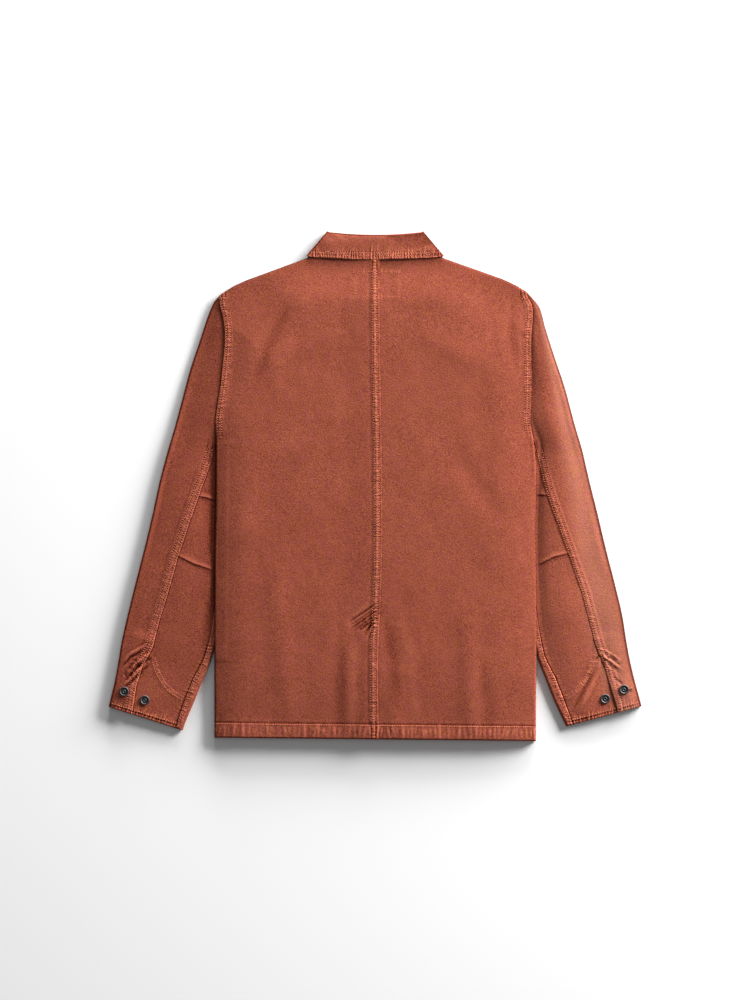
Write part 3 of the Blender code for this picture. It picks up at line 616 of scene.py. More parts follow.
def cloth_material(name, light, dark, grain_seed):
    """Garment-dyed canvas: mottled rust with a twill. One vertex attribute paints it paler on small ridges,
    partly as abrasion, darker in small creases as painted shade, and carries the painted light and shade of
    seams, rims and folds; another mixes in a painted highlight colour.
    """
    made = bpy.data.materials.new(name)
    made.use_nodes = True
    tree = made.node_tree
    link = tree.links.new
    shader = tree.nodes["Principled BSDF"]
    place = node_of(tree, "ShaderNodeTexCoord")
    shift = node_of(tree, "ShaderNodeMapping")
    shift.inputs["Location"].default_value = (grain_seed, grain_seed * 0.37, 0)
    link(place.outputs["Object"], shift.inputs["Vector"])

    grain = node_of(tree, "ShaderNodeTexNoise", Scale=470.0, Detail=3.0, Roughness=0.6)
    cloud = node_of(tree, "ShaderNodeTexNoise", Scale=22.0, Detail=4.0, Roughness=0.55)
    fleck = node_of(tree, "ShaderNodeTexNoise", Scale=780.0, Detail=1.0, Roughness=0.5)
    for each in (grain, cloud, fleck):
        link(shift.outputs["Vector"], each.inputs["Vector"])
    # This attribute holds painted light and shade together with the cloth's abrasion.
    wear_and_shade = node_of(tree, "ShaderNodeAttribute", attribute_name="wear_and_shade")

    def scaled(source, low, high, to_low, to_high):
        span = node_of(tree, "ShaderNodeMapRange")
        for name, value in zip(("From Min", "From Max", "To Min", "To Max"), (low, high, to_low, to_high)):
            span.inputs[name].default_value = value
        link(source, span.inputs["Value"])
        return span.outputs["Result"]

    def added(first, second):
        total = node_of(tree, "ShaderNodeMath", operation="ADD")
        link(first, total.inputs[0])
        link(second, total.inputs[1])
        return total.outputs[0]

    share = scaled(grain.outputs["Fac"], 0.3, 0.7, 0.24, 0.56)
    share = added(share, scaled(cloud.outputs["Fac"], 0.3, 0.7, -0.035, 0.035))
    share = added(share, scaled(fleck.outputs["Fac"], 0.3, 0.7, -0.22, 0.22))
    share = added(share, scaled(wear_and_shade.outputs["Fac"], -2.0, 2.0, -0.9, 0.9))
    share = scaled(share, -0.5, 1.0, 0.0, 1.0)
    tone = node_of(tree, "ShaderNodeValToRGB")
    ramp = tone.color_ramp
    ramp.elements[0].position, ramp.elements[0].color = 0.0, (*SHADE_RUST, 1)
    ramp.elements[1].position, ramp.elements[1].color = 1.0, (*light, 1)
    ramp.elements.new(1 / 3).color = (*dark, 1)
    link(share, tone.inputs["Fac"])
    # Mixes in the painted highlight colour.
    highlight_share = node_of(tree, "ShaderNodeAttribute", attribute_name="highlight_share")
    highlighted = node_of(tree, "ShaderNodeMix", data_type="RGBA")
    link(highlight_share.outputs["Fac"], highlighted.inputs["Factor"])
    link(tone.outputs["Color"], highlighted.inputs["A"])
    highlighted.inputs["B"].default_value = (*HIGHLIGHT_RUST, 1)
    hue = node_of(tree, "ShaderNodeTexNoise", Scale=110.0, Detail=4.0, Roughness=0.6)
    link(shift.outputs["Vector"], hue.inputs["Vector"])
    cast = node_of(tree, "ShaderNodeMix", data_type="RGBA")
    link(scaled(hue.outputs["Fac"], 0.35, 0.65, 0.0, 1.0), cast.inputs["Factor"])
    cast.inputs["A"].default_value = (1.0, 1.05, 0.88, 1)
    cast.inputs["B"].default_value = (1.0, 0.95, 1.12, 1)
    dyed = node_of(tree, "ShaderNodeMix", data_type="RGBA", blend_type="MULTIPLY")
    dyed.inputs["Factor"].default_value = 1.0
    link(highlighted.outputs["Result"], dyed.inputs["A"])
    link(cast.outputs["Result"], dyed.inputs["B"])
    link(dyed.outputs["Result"], shader.inputs["Base Color"])

    twill = node_of(tree, "ShaderNodeTexWave", wave_type="BANDS", bands_direction="DIAGONAL")
    twill.inputs["Scale"].default_value = 260.0
    twill.inputs["Distortion"].default_value = 2.5
    twill.inputs["Detail"].default_value = 2.0
    link(place.outputs["Object"], twill.inputs["Vector"])
    weave = scaled(twill.outputs["Fac"], 0, 1, 0.0, 0.35)
    relief = added(scaled(grain.outputs["Fac"], 0.3, 0.7, 0.0, 1.0), weave)
    bump = node_of(tree, "ShaderNodeBump")
    bump.inputs["Strength"].default_value = 0.3
    bump.inputs["Distance"].default_value = 0.00035
    link(relief, bump.inputs["Height"])
    link(bump.outputs["Normal"], shader.inputs["Normal"])
    shader.inputs["Roughness"].default_value = 0.8
    shader.inputs["Specular IOR Level"].default_value = 0.0
    shader.inputs["Sheen Weight"].default_value = 0.02
    shader.inputs["Sheen Roughness"].default_value = 0.5
    return made


# Meshes


def placed(name, data):
    """A new object of the scene."""
    made = bpy.data.objects.new(name, data)
    bpy.context.scene.collection.objects.link(made)
    return made


def ring_faces(first, rings, sides):
    """Quads round a stack of rings of points, and the triangles that close its two ends."""
    quads, triangles = [], []
    last = first + (rings - 1) * sides
    for start in range(first, last, sides):
        for corner in range(sides):
            a, b = start + corner, start + (corner + 1) % sides
            quads.append((a, b, b + sides, a + sides))
    for corner in range(1, sides - 1):
        triangles.append((first, first + corner + 1, first + corner))
        triangles.append((last, last + corner, last + corner + 1))
    return quads, triangles


def grid_quads(index):
    corners = (index[:-1, :-1], index[:-1, 1:], index[1:, 1:], index[1:, :-1])
    return np.stack([corner.ravel() for corner in corners], axis=1)


def add_mesh(name, points, quads, triangles, finish, wear_and_shade=None):
    """A mesh with outward faces, from table points in millimetres."""
    points = (np.asarray(points, float) - (0, LENGTH / 2, 0)) * MM
    quads, triangles = np.asarray(quads, int), np.asarray(triangles, int)
    mesh = bpy.data.meshes.new(name)
    mesh.vertices.add(len(points))
    mesh.vertices.foreach_set("co", points.ravel())
    corners = np.concatenate([quads.ravel(), triangles.ravel()])
    triangle_start = len(quads) * 4
    starts = [np.arange(len(quads)) * 4, triangle_start + np.arange(len(triangles)) * 3]
    mesh.loops.add(len(corners))
    mesh.loops.foreach_set("vertex_index", corners)
    mesh.polygons.add(len(quads) + len(triangles))
    mesh.polygons.foreach_set("loop_start", np.concatenate(starts))
    mesh.update(calc_edges=True)
    mesh.validate()
    shape = bmesh.new()
    shape.from_mesh(mesh)
    bmesh.ops.recalc_face_normals(shape, faces=shape.faces)
    shape.to_mesh(mesh)
    shape.free()
    mesh.shade_smooth()
    # Per point: the cloth's abrasion together with painted light and shade.
    if wear_and_shade is not None:
        attribute = mesh.attributes.new("wear_and_shade", "FLOAT", "POINT")
        attribute.data.foreach_set("value", np.asarray(wear_and_shade, np.float32))
    mesh.materials.append(finish)
    return placed(name, mesh)


def grid_normals(grid, column, upward):
    """Unit normals of a grid, turned so that they look up (or down) at one column."""
    normals = np.cross(np.gradient(grid, axis=0), np.gradient(grid, axis=1))
    normals /= np.maximum(np.linalg.norm(normals, axis=2, keepdims=True), 1e-9)
    middle = normals[len(grid) // 2, column, 2]
    return normals if (middle > 0) == upward else -normals


def zipper(fine, coarse):
    """Triangles between a fine border and a coarse one that has every STEP-th of its points."""
    triangles = []
    half = STEP // 2
    for number, (here, after) in enumerate(zip(coarse, coarse[1:])):
        border = fine[number * STEP : (number + 1) * STEP + 1]
        for step, (start, end) in enumerate(zip(border, border[1:])):
            triangles.append((start, end, here if step < half else after))
        triangles.append((border[half], after, here))
    return triangles


SKINS = {}

# They are estimates, made before the pieces were. The finished upper sleeves are only about 0.20 x
# 0.65 with an area of 0.096 and 0.095, and the collar's area is 0.029.
Cut = namedtuple("Cut", "width length area")


def add_cloth(node, face, upward, finish, relief, column=20, tone=0.0, highlight_share=None):
    """One cut piece as a closed thin shell: its showing side is a fine grid, its hidden side a coarse one."""
    rows, columns = face.shape[:2]
    normals = grid_normals(face, column, upward)
    wall = np.full((rows, columns), HIDDEN_WALL)
    wall[0], wall[-1], wall[:, 0], wall[:, -1] = (EDGE_WALL,) * 4
    hidden = (face - normals * wall[..., None])[::STEP, ::STEP]
    fine = np.arange(rows * columns).reshape(rows, columns)
    coarse = rows * columns + np.arange(hidden.shape[0] * hidden.shape[1]).reshape(hidden.shape[:2])
    quads = np.concatenate([grid_quads(fine), grid_quads(coarse)[:, ::-1]])
    triangles = []
    for dense, sparse in ((fine, coarse), (fine.T, coarse.T)):
        for border in (0, -1):
            triangles += zipper(list(dense[border]), list(sparse[border]))
    # Small ridges come out paler, partly as abrasion, and small creases darker as painted shade; the tone
    # adds the painted light and shade of seams, rims and folds.
    detail = (relief - blurred(relief, 5)) / 0.35
    shading_and_abrasion = np.clip(detail + tone, -1.9, 1.2)
    wear_and_shade = np.concatenate([shading_and_abrasion.ravel(), shading_and_abrasion[::STEP, ::STEP].ravel()])
    points = np.concatenate([face.reshape(-1, 3), hidden.reshape(-1, 3)])
    made = add_mesh("cloth_" + node, points, quads, triangles, finish, wear_and_shade)
    # An attribute for the painted highlight colour.
    if highlight_share is not None:
        highlight_values = np.concatenate([highlight_share.ravel(), highlight_share[::STEP, ::STEP].ravel()])
        made.data.attributes.new("highlight_share", "FLOAT", "POINT").data.foreach_set("value", highlight_values.astype(np.float32))
    SKINS[node] = face
    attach(made, "root")
    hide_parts(node)
    return made


# Body panels


def edge_drop(distance, radius):
    """1 at an edge and 0 past the radius, round like a folded edge."""
    share = 1 - np.clip(distance / radius, 0, 1)
    return 1 - np.sqrt(1 - share * share)


def plan_grid(side, rows, inner_edge, outer_inset, top_line, lead, tail, columns):
    """Plan points of a panel, dense at its edges. inner_edge is a function of the height."""
    sign = SIGN[side]
    row = np.asarray(rows, float)[:, None]
    lead, tail = np.asarray(lead, float), np.asarray(tail, float)[::-1]
    between = np.linspace(0, 1, columns - len(lead) - len(tail) + 2)[1:-1]
    up = row_height(side, top_line, np.full((1, columns), sign * 100.0), row)
    for _ in range(8):
        inner = inner_edge(up)
        outer = sign * (SIDE_CURVES[side](up) - outer_inset)
        first, last = inner + sign * lead[-1], outer - sign * tail[0]
        across = np.empty(up.shape)
        across[:, : len(lead)] = inner[:, : len(lead)] + sign * lead
        across[:, columns - len(tail) :] = outer[:, columns - len(tail) :] - sign * tail
        middle = slice(len(lead), columns - len(tail))
        across[:, middle] = first[:, middle] + (last - first)[:, middle] * between
        up = row_height(side, top_line, across, row)
    return across, up


def dense_ends(first, last, count):
    """Even places from first to last, closer at both ends."""
    ends = np.array(EDGE_OFFSETS)
    middle = np.linspace(first + ends[-1], last - ends[-1], count - 2 * len(ends) + 2)
    return np.concatenate([first + ends[:-1], middle, last - ends[:-1][::-1]])


def row_places(count):
    return dense_ends(0, ROW_TOP, count)


def under_edge(side, up):
    """Height to which a back's edge rolls down: just over what it is sewn to."""
    over_sleeve = front_rest(SIGN[side] * SIDE_CURVES[side](up), up) + EDGE_WALL
    at_seam = armhole_height(side, up) + ARMHOLE_EDGE[side]
    return over_sleeve + (at_seam - over_sleeve) * ease(*ARMPIT_EDGE, up)


def armhole_height(side, up):
    """Height of the back's underside along an armhole."""
    across = SIGN[side] * (SIDE_CURVES[side](up) - ARMHOLE_INSET)
    return back_rest(across, up) + body_loft(across, up)


def near_edge(distance):
    """1 at an edge and 0 a little way in."""
    return 1 - ease(0.6, 2.6, distance)


SEAM_PUCKERS = Puckers(11, 760, 3.8, 0.7, 4.2, 0.2)
ARMHOLE_PUCKERS = {
    "left": Puckers(21, 760, 3.8, 0.55, 5.0, 0.2),
    "right": Puckers(22, 760, 3.8, 0.5, 5.0, -0.2),
}
HEM_PUCKERS = Puckers(31, 560, 6.5, 0.6, 9.0, 0.1)
LABEL_PUCKERS = Puckers(35, 260, 5.5, 0.3, 4.0, 0.0)


def back_rows(across, up):
    """1 on the rows of stitches of a back."""
    seam = across - CENTRE_SEAM_CURVE(up)
    inset = nearer_side(across, up) - np.abs(across)
    rows = sum(groove(seam + at) for at in CENTRE_ROWS) + groove(up - hem_line(across) - HEM_GROOVE)
    armhole = sum(groove(inset - at) for at in ARMHOLE_ROWS) * ease(*ARMHOLE_START, up)
    return np.clip(rows + armhole, 0, 1)


def back_tone(across, up):
    """Paler bands along the seams and the hem, painted shade in the rows of stitches, and painted light and
    shade along the vent's pleats, under a patch of painted shade.
    """
    seam = across - CENTRE_SEAM_CURVE(up)
    bands = (1 - ease(11, 14, -seam)) * (seam < 1)
    bands = np.maximum(bands, np.maximum(armhole_band(across, up), 0.6 * hem_band(across, up)))
    near, _, _, off = path_frame(LABEL, across, up, 6.0)
    label = np.zeros(across.shape)
    label[near] = 0.03 * (1 - ease(0.8, 3, np.abs(off)))
    # Painted light and shade along the vent's pleats, and a mottled patch of painted shade over them.
    pleats = PLEAT_SHADING * creased(BACK_PLEATS, across, up)
    shade_patch = np.exp(-(((across + 10) / 16) ** 2) - ((up - 182 - 0.7 * (across + 10)) / 11) ** 2)
    pleats -= shade_patch * (0.9 - 1.0 * mottle(62, across, up, 3))
    pebbles = PEBBLE_TONE * mottle(64, across, up, 2.6)
    return (BAND_TONE + pebbles) * bands + label + pleats - GROOVE_SHADE * back_rows(across, up)


def back_relief(side, across, up):
    """Small relief on a back: puckered seams, creases and the slackness of washed cloth."""
    seam = across - CENTRE_SEAM_CURVE(up)
    inset = nearer_side(across, up) - np.abs(across)
    hem = up - hem_line(across)
    puckers = SEAM_PUCKERS(up, seam + 7.5) * (1 - 0.5 * (side == "right"))
    puckers += ARMHOLE_PUCKERS[side](up, inset - 6) * ease(440, 480, up)
    puckers += HEM_PUCKERS(across + 260, hem - 12)
    puckers += stitched_path(LABEL_PUCKERS, LABEL, across, up)
    slack = 0.3 * mottle(51, across, up, 70) + 0.09 * mottle(52, across, up, 26)
    slack += 0.03 * mottle(53, across, up, 9)
    folds = creased(BACK_CREASES, across, up) + PLEAT_DEPTH * creased(BACK_PLEATS, across, up)
    return puckers + slack * ease(0, 6, inset) + folds - GROOVE * back_rows(across, up)


def groove(off):
    """1 on a row of stitches and 0 beside it."""
    return 1 - ease(0.2, 1.5, np.abs(off))


def body_loft(across, up):
    """How much fuller than the solid the laid body is: round towards its sides, less at hem and neck."""
    inset = nearer_side(across, up) - np.abs(across)
    reach = np.where(across < 0, LOFT_REACH["left"], LOFT_REACH["right"])
    round_side = 1 - (1 - np.clip(inset / reach, 0, 1)) ** 2
    at_armhole = ARMHOLE_SHARE * ease(*ARMPIT_FADE, up)
    side = at_armhole + (1 - at_armhole) * round_side
    hem = HEM_SHARE + (1 - HEM_SHARE) * ease(0, 170, up - hem_line(across))
    return BODY_LOFT * side * hem * (1 - (1 - NECK_SHARE) * ease(330, 690, up))


def build_back(side, finish):
    def inner_edge(up):
        if side == "left":
            return CENTRE_SEAM_CURVE(up)
        underlap = 1 - ease(VENT_TOP - VENT_STEP, VENT_TOP + VENT_STEP, up)
        return CENTRE_SEAM_CURVE(up) - UNDER_LAP - (VENT_UNDERLAP - UNDER_LAP) * underlap

    tail = SEAM_COLUMNS[:-3]
    across, up = plan_grid(
        side, row_places(PANEL_ROWS), inner_edge, 0, back_top, SEAM_COLUMNS, tail, PANEL_COLUMNS
    )
    seam = across - CENTRE_SEAM_CURVE(up)
    inset = nearer_side(across, up) - np.abs(across)
    hem = up - hem_line(across)
    low = back_rest(across, up) + body_loft(across, up)
    bands = np.maximum(0.4 * armhole_band(across, up), 0.6 * hem_band(across, up))
    if side == "left":
        reach = VENT_UNDERLAP + VENT_STEP
        lapped = 1 - ease(reach, reach + VENT_EASE, -seam)
        above_vent = ease(*VENT_FADE, up)
        low = low + LAP_LIFT * lapped * (1 - above_vent)
        low = low + SEAM_LIFT * (1 - ease(*SEAM_LIFT_EASE, -seam)) * above_vent
        bands = np.maximum(bands, 1 - ease(SEAM_BAND, SEAM_BAND + BAND_EDGE, -seam))
        inner_distance = -seam
    else:
        low = low - UNDER_DIP * (1 - ease(-1.2, 0.6, seam))
        inner_distance = np.full(seam.shape, 50.0)
    relief = back_relief(side, across, up)
    top = low + WALL + SEAM_RISE * bands + relief
    top_line = back_top(side, across)
    armhole = ease(*ARMHOLE_START, up)
    side_roll = EDGE_ROLL + 2.0 * armhole * (side == "right")
    for distance, target, roll in (
        (inset, under_edge(side, up), side_roll),
        (hem, front_rest(across, up) + lap_rise(across, up) + WALL + EDGE_WALL + SEAM_GAP, EDGE_ROLL),
        (top_line - up, np.where(np.abs(across) > NECK_HALF + 4, EDGE_WALL, low), EDGE_ROLL),
    ):
        top = top - (top - target) * edge_drop(distance, roll)
    top = top - (0.5 - 0.3 * ease(*VENT_FADE, up)) * edge_drop(inner_distance, 1.6)
    face = np.dstack([across, up, top])
    # Painted shade along the back's side, shoulder, centre and hem edges.
    low_armhole = 0.6 * (side == "right") * (1 - ease(585, 605, up))
    edge_light_and_shade = near_edge(inset) * (SIDE_SHADE[side] * (1 - armhole) + low_armhole * armhole)
    edge_light_and_shade = np.maximum(edge_light_and_shade, 1.6 * near_edge(top_line - up) * (np.abs(across) > NECK_HALF + 4))
    edge_light_and_shade = np.maximum(edge_light_and_shade, 0.4 * near_edge(inner_distance))
    # A painted highlight line along the armhole seam, taken off the painted edge shade.
    line = ARMHOLE_HIGHLIGHT[side] * near_edge(np.abs(inset - 1.2)) * armhole
    edge_light_and_shade = np.maximum(edge_light_and_shade, 0.3 * near_edge(hem)) - line
    # A strip of painted shade under the shoulder line.
    shoulder_shade = 0.12 * (1 - ease(10, 60, top_line - up)) * (np.abs(across) > NECK_HALF + 4)
    tone = back_tone(across, up) - edge_light_and_shade - shoulder_shade
    add_cloth("back_" + side, face, True, finish, relief, tone=tone)


def armhole_band(across, up):
    inset = nearer_side(across, up) - np.abs(across)
    return (1 - ease(ARMHOLE_BAND, ARMHOLE_BAND + BAND_STEP, inset)) * ease(*ARMHOLE_BAND_START, up)


def hem_band(across, up):
    return 1 - ease(HEM_DEPTH, HEM_DEPTH + BAND_STEP, up - hem_line(across))


def build_front(side, finish):
    """A front, with its showing side down: it lies on the surface, the sleeve, the collar and buttons."""
    lap_edge = -SIGN[side] * FRONT_LAP

    def inner_edge(up):
        return np.full(up.shape, lap_edge)

    rows = row_places(FRONT_ROWS) * (ROW_TOP - 2 * FRONT_INSET) / ROW_TOP + FRONT_INSET
    across, up = plan_grid(
        side, rows, inner_edge, FRONT_INSET, front_top, EDGE_OFFSETS, EDGE_OFFSETS, FRONT_COLUMNS
    )
    low = front_rest(across, up)
    if side == "right":
        low = low + lap_rise(across, up)
    inset = nearer_side(across, up) - FRONT_INSET - np.abs(across)
    hem = up - hem_line(across) - FRONT_INSET
    lap = np.abs(across - lap_edge)
    low = low + 0.55 * np.maximum.reduce([edge_drop(each, 1.6) for each in (inset, hem, lap)])
    relief = np.zeros(low.shape)
    face = np.dstack([across, up, low])
    add_cloth("front_" + side, face, False, finish, relief)


# Sleeves


# How a sleeve lies, by its row: the height of its outer and inner folds, and how far its skin rises over
# the straight line between them at each of the shares from the outer fold to the inner one. A program
# worked these heights out from the photo's brightness, sampled along each row, and they were then
# smoothed.
FOLD_REACH = 2.0
RISE_SHARES = (0, 0.15, 0.3, 0.45, 0.6, 0.75, 0.9, 1)
SleeveForm = namedtuple("SleeveForm", "row outer inner rises")
SLEEVE_FORMS = {
    "left": (
        SleeveForm(0.0, 4.2, 4.7, (0.0, -0.1, -0.1, -0.1, -0.1, -0.1)),
        SleeveForm(2.0, 3.9, 4.7, (-0.3, -0.2, -0.1, 0.0, -0.1, -0.2)),
        SleeveForm(4.0, 3.9, 4.7, (-0.3, -0.3, -0.2, -0.15, -0.1, -0.2)),
        SleeveForm(5.2, 4.8, 4.9, (0.1, 0.2, 0.2, 0.2, 0.2, 0.1)),
        SleeveForm(6.4, 5.6, 5.1, (0.3, 0.6, 0.8, 1.0, 1.0, 0.6)),
        SleeveForm(7.8, 6.2, 5.1, (0.4, 0.8, 1.2, 1.5, 1.5, 0.9)),
        SleeveForm(9.0, 6.5, 5.1, (0.5, 0.9, 1.3, 1.7, 1.6, 1.0)),
        SleeveForm(10.0, 6.6, 5.1, (0.5, 0.8, 1.2, 1.5, 1.3, 0.9)),
        SleeveForm(11.2, 6.8, 5.0, (0.6, 0.9, 1.2, 1.4, 1.1, 0.7)),
        SleeveForm(12.6, 6.8, 4.8, (0.7, 1.0, 1.1, 1.0, 0.7, 0.5)),
        SleeveForm(14.0, 6.6, 4.6, (0.6, 0.8, 0.5, 0.4, 0.3, 0.2)),
        SleeveForm(17.0, 6.2, 4.4, (0.3, 0.3, 0.2, 0.3, 0.2, 0.2)),
    ),
    "right": (
        SleeveForm(0.0, 5.0, 4.4, (0.25, 0.4, 0.4, 0.35, 0.25, 0.1)),
        SleeveForm(2.0, 6.0, 4.4, (0.9, 1.15, 1.2, 1.15, 0.9, 0.5)),
        SleeveForm(3.0, 7.0, 4.4, (1.2, 1.5, 1.5, 1.4, 1.25, 0.75)),
        SleeveForm(4.0, 6.7, 4.4, (1.6, 2.15, 2.25, 2.15, 1.8, 0.95)),
        SleeveForm(5.2, 5.9, 4.5, (1.85, 2.85, 2.9, 2.75, 2.0, 0.95)),
        SleeveForm(6.4, 5.1, 4.6, (1.45, 2.5, 2.95, 2.8, 2.1, 1.1)),
        SleeveForm(7.8, 4.5, 4.6, (1.2, 2.5, 3.15, 3.35, 2.9, 1.7)),
        SleeveForm(9.0, 4.3, 4.6, (0.9, 2.1, 3.0, 3.25, 3.1, 1.9)),
        SleeveForm(10.0, 3.9, 4.6, (0.8, 1.8, 3.0, 3.1, 2.9, 1.85)),
        SleeveForm(11.2, 3.8, 4.6, (0.85, 1.7, 2.6, 3.2, 3.0, 1.8)),
        SleeveForm(12.6, 3.8, 4.4, (0.75, 0.9, 1.5, 2.2, 2.3, 1.2)),
        SleeveForm(14.0, 3.8, 4.2, (0.7, 0.9, 1.5, 1.8, 1.8, 0.9)),
        SleeveForm(17.0, 4.2, 4.0, (0.75, 0.85, 1.2, 1.5, 1.4, 0.7)),
    ),
}
CAP_TO_FREE = (5.2, 7.0)
CAP_RISE = {"left": 0.1, "right": 0.45}
CAP_DIP = {"left": 0.5, "right": 0.9}
CAP_LAP = 3.4
SLEEVE_STATIONS = 541
TOP_COLUMNS = 74
FLOOR_COLUMNS = 16
ARC_COLUMNS = 7
END_COLUMNS = 9
RETURN_RISE = 0.4
# A painted highlight on the left sleeve's return edge, painted shade on the right one's.
RETURN_EDGE_LIGHT_SHADE = {"left": 0.6, "right": -0.5}
SLEEVE_BAND_RISE = 0.35
RETURN_SHOWN = (11.8, 12.8)
UNDER_STATIONS = 361
UNDER_COLUMNS = 77

# How much darker the left sleeve and lighter the right one are painted.
SLEEVE_LIGHT_AND_SHADE = {"left": -0.15, "right": 0.2}
# Painted shade in the crumpled cloth beside each cuff's vent, and how mottled it is.
CRUMPLE_SHADE = {"left": 0.6, "right": 0.05}
CRUMPLE_PEBBLES = {"left": 0.9, "right": 0.6}
CUFF_LIFT = {"left": 1.2, "right": 0.4}
BELOW_ROWS = {"left": (0.5, 2.0), "right": (4.5, 6.4)}
# How much painted highlight colour each sleeve gets.
SLEEVE_HIGHLIGHT = {"left": 0.0, "right": 0.12}

SLEEVE_CREASES = {
    "left": (
        Crease(((-343, 145), (-364, 133), (-384, 115)), 2.8, 0.7),
        Crease(((-346, 137), (-367, 126), (-384, 106)), 2.4, -0.8),
        Crease(((-338, 131), (-357, 119), (-373, 100)), 2.4, 0.8),
        Crease(((-341, 123), (-358, 110), (-373, 90)), 2.2, -0.9),
        Crease(((-344, 116), (-360, 101), (-377, 85)), 2.4, 0.7),
        Crease(((-350, 107), (-362, 93), (-377, 78)), 2.2, -0.7),
        Crease(((-300, 440), (-322, 360), (-345, 250)), 16.0, -0.7),
        Crease(((-262, 560), (-280, 480), (-300, 400)), 14.0, -0.6),
    ),
    "right": (
        Crease(((335, 140), (352, 132), (369, 120)), 2.1, 0.38),
        Crease(((337, 134), (352, 126), (366, 115)), 2.4, -0.35),
        Crease(((340, 129), (354, 119), (371, 107)), 2.1, 0.34),
        Crease(((343, 122), (354, 113), (366, 102)), 2.4, -0.3),
        Crease(((356, 97), (363, 91), (371, 85)), 2.2, -0.6),
        Crease(((328, 107), (314, 80), (296, 46)), 4.0, -0.5),
        Crease(((334, 104), (322, 78), (306, 46)), 4.0, 0.4),
        Crease(((270, 560), (285, 480), (300, 420)), 14.0, -0.7),
        Crease(((322, 400), (338, 320), (352, 240)), 16.0, 0.6),
    ),
}
BUTTONHOLE = ((377.5, 77.2), (385.5, 76.6))
CRUMPLES = {"left": ((-355, 112), (0.6, 0.8), 26, 12), "right": ((346, 122), (-0.85, 0.5), 18, 11)}
ELBOW_TUCKS = {
    "left": (
        ((-263.5, 367.5), (-252, 365.5), (-239, 361)),
        ((-295, 278), (-272, 266.5), (-245, 257.5)),
    ),
    "right": (
        ((254.8, 369), (247, 370), (239, 368)),
        ((288.5, 281.8), (268, 277), (247, 266)),
    ),
}
FACINGS = {
    "left": ((-333, 126), (-327, 105), (-315, 84), (-302, 72), (-288, 64)),
    "right": ((326, 127), (323, 106), (314, 90), (301, 75), (287, 65)),
}
ELBOW_PUCKERS = {
    "left": Puckers(61, 760, 3.3, 0.45, 5.0, 0.3),
    "right": Puckers(62, 760, 3.3, 0.45, 5.0, -0.3),
}
UNDER_PUCKERS = {
    "left": Puckers(71, 760, 3.8, 0.85, 5.0, 0.2),
    "right": Puckers(72, 760, 3.8, 0.8, 5.0, -0.2),
}
CUFF_PUCKERS = {
    "left": Puckers(91, 300, 4.8, 0.7, 8.0, 0.2),
    "right": Puckers(92, 300, 4.8, 0.7, 8.0, -0.2),
}
FACING_PUCKERS = Puckers(95, 120, 3.6, 0.5, 4.0, 0.2)


class Sleeve:
    """The rows of one sleeve, read smoothly between the table's rows. All its functions take arrays."""

    def __init__(self, side):
        self.side = side
        rows = SLEEVES[side]
        numbers = range(len(rows))
        self.curves = {
            name: through(numbers, [getattr(row, name) for row in rows]) for name in SleeveRow._fields
        }
        self.numbers = np.linspace(0, len(rows) - 1, 800)
        outer, inner = self.ends(self.numbers)
        steps = np.hypot(*np.diff((outer + inner) / 2, axis=0).T)
        self.runs = np.concatenate([[0], np.cumsum(steps)])
        forms = SLEEVE_FORMS[side]
        self.outer_height = table_curve(forms, "row", "outer")
        self.inner_height = table_curve(forms, "row", "inner")
        rises = zip(*(form.rises for form in forms))
        self.rises = [through([form.row for form in forms], rise) for rise in rises]

    def ends(self, row):
        """The outer and the inner end of a row, each as (across, up)."""
        inner_up = self.curves["inner_up"](row)
        inner_across = SIDE_CURVES[self.side](inner_up) - self.curves["tuck"](row)
        outer = np.stack([self.curves["outer_across"](row), self.curves["outer_up"](row)], axis=-1)
        return outer, np.stack([inner_across, inner_up], axis=-1)

    def breadth(self, row):
        outer, inner = self.ends(row)
        return np.hypot(*np.moveaxis(inner - outer, -1, 0))

    def seam(self, name, row):
        """Distance of the elbow or under seam from the outer fold."""
        rows = SLEEVES[self.side]
        share = np.interp(row, range(len(rows)), [getattr(each, name) for each in rows])
        return share * self.breadth(row)

    def plan(self, row, inward):
        outer, inner = self.ends(row)
        share = (inward / self.breadth(row))[..., None]
        return (outer + (inner - outer) * share) * (SIGN[self.side], 1)

    def run(self, row):
        """Distance down the sleeve of a row."""
        return np.interp(row, self.numbers, self.runs)

    def stations(self, start, count):
        """Evenly spaced rows from a start row to the cuff, closer at both ends."""
        runs = dense_ends(self.run(start), self.runs[-1], count)
        return np.interp(runs, self.runs, self.numbers)

    def inner_reach(self, row):
        """How far the round of the inner fold reaches over the plan."""
        return np.minimum(self.inner_height(row) / 2, FOLD_REACH)

    def skin(self, row, inward):
        """Height of the upper side, from the outer fold to the inner one or to the back's edge."""
        free = ease(*CAP_TO_FREE, row)
        share = np.clip(inward / (self.breadth(row) - INNER_FLAT * free), 0, 1)
        armhole = armhole_height(self.side, self.curves["inner_up"](row)) + CAP_RISE[self.side]
        inner = armhole * (1 - free) + self.inner_height(row) * free
        outer = self.outer_height(row)
        rises = [0 * row, *(rise(row) for rise in self.rises), 0 * row]
        return outer + (inner - outer) * share + through_rows(RISE_SHARES, np.hstack(rises), share)

    def cuff_lap(self, row, inward):
        """Lift of the upper sleeve where it laps over the under sleeve at the cuff's vent."""
        reach = self.seam("elbow", row) - inward
        cuff = self.runs[-1] - self.run(row)
        lift = CUFF_LIFT[self.side] + (LAP_LIFT - CUFF_LIFT[self.side]) * (1 - ease(30, 60, cuff))
        return lift * ease(*CUFF_LAP_ROWS, row) * (1 - ease(*CUFF_LAP_EASE, reach))


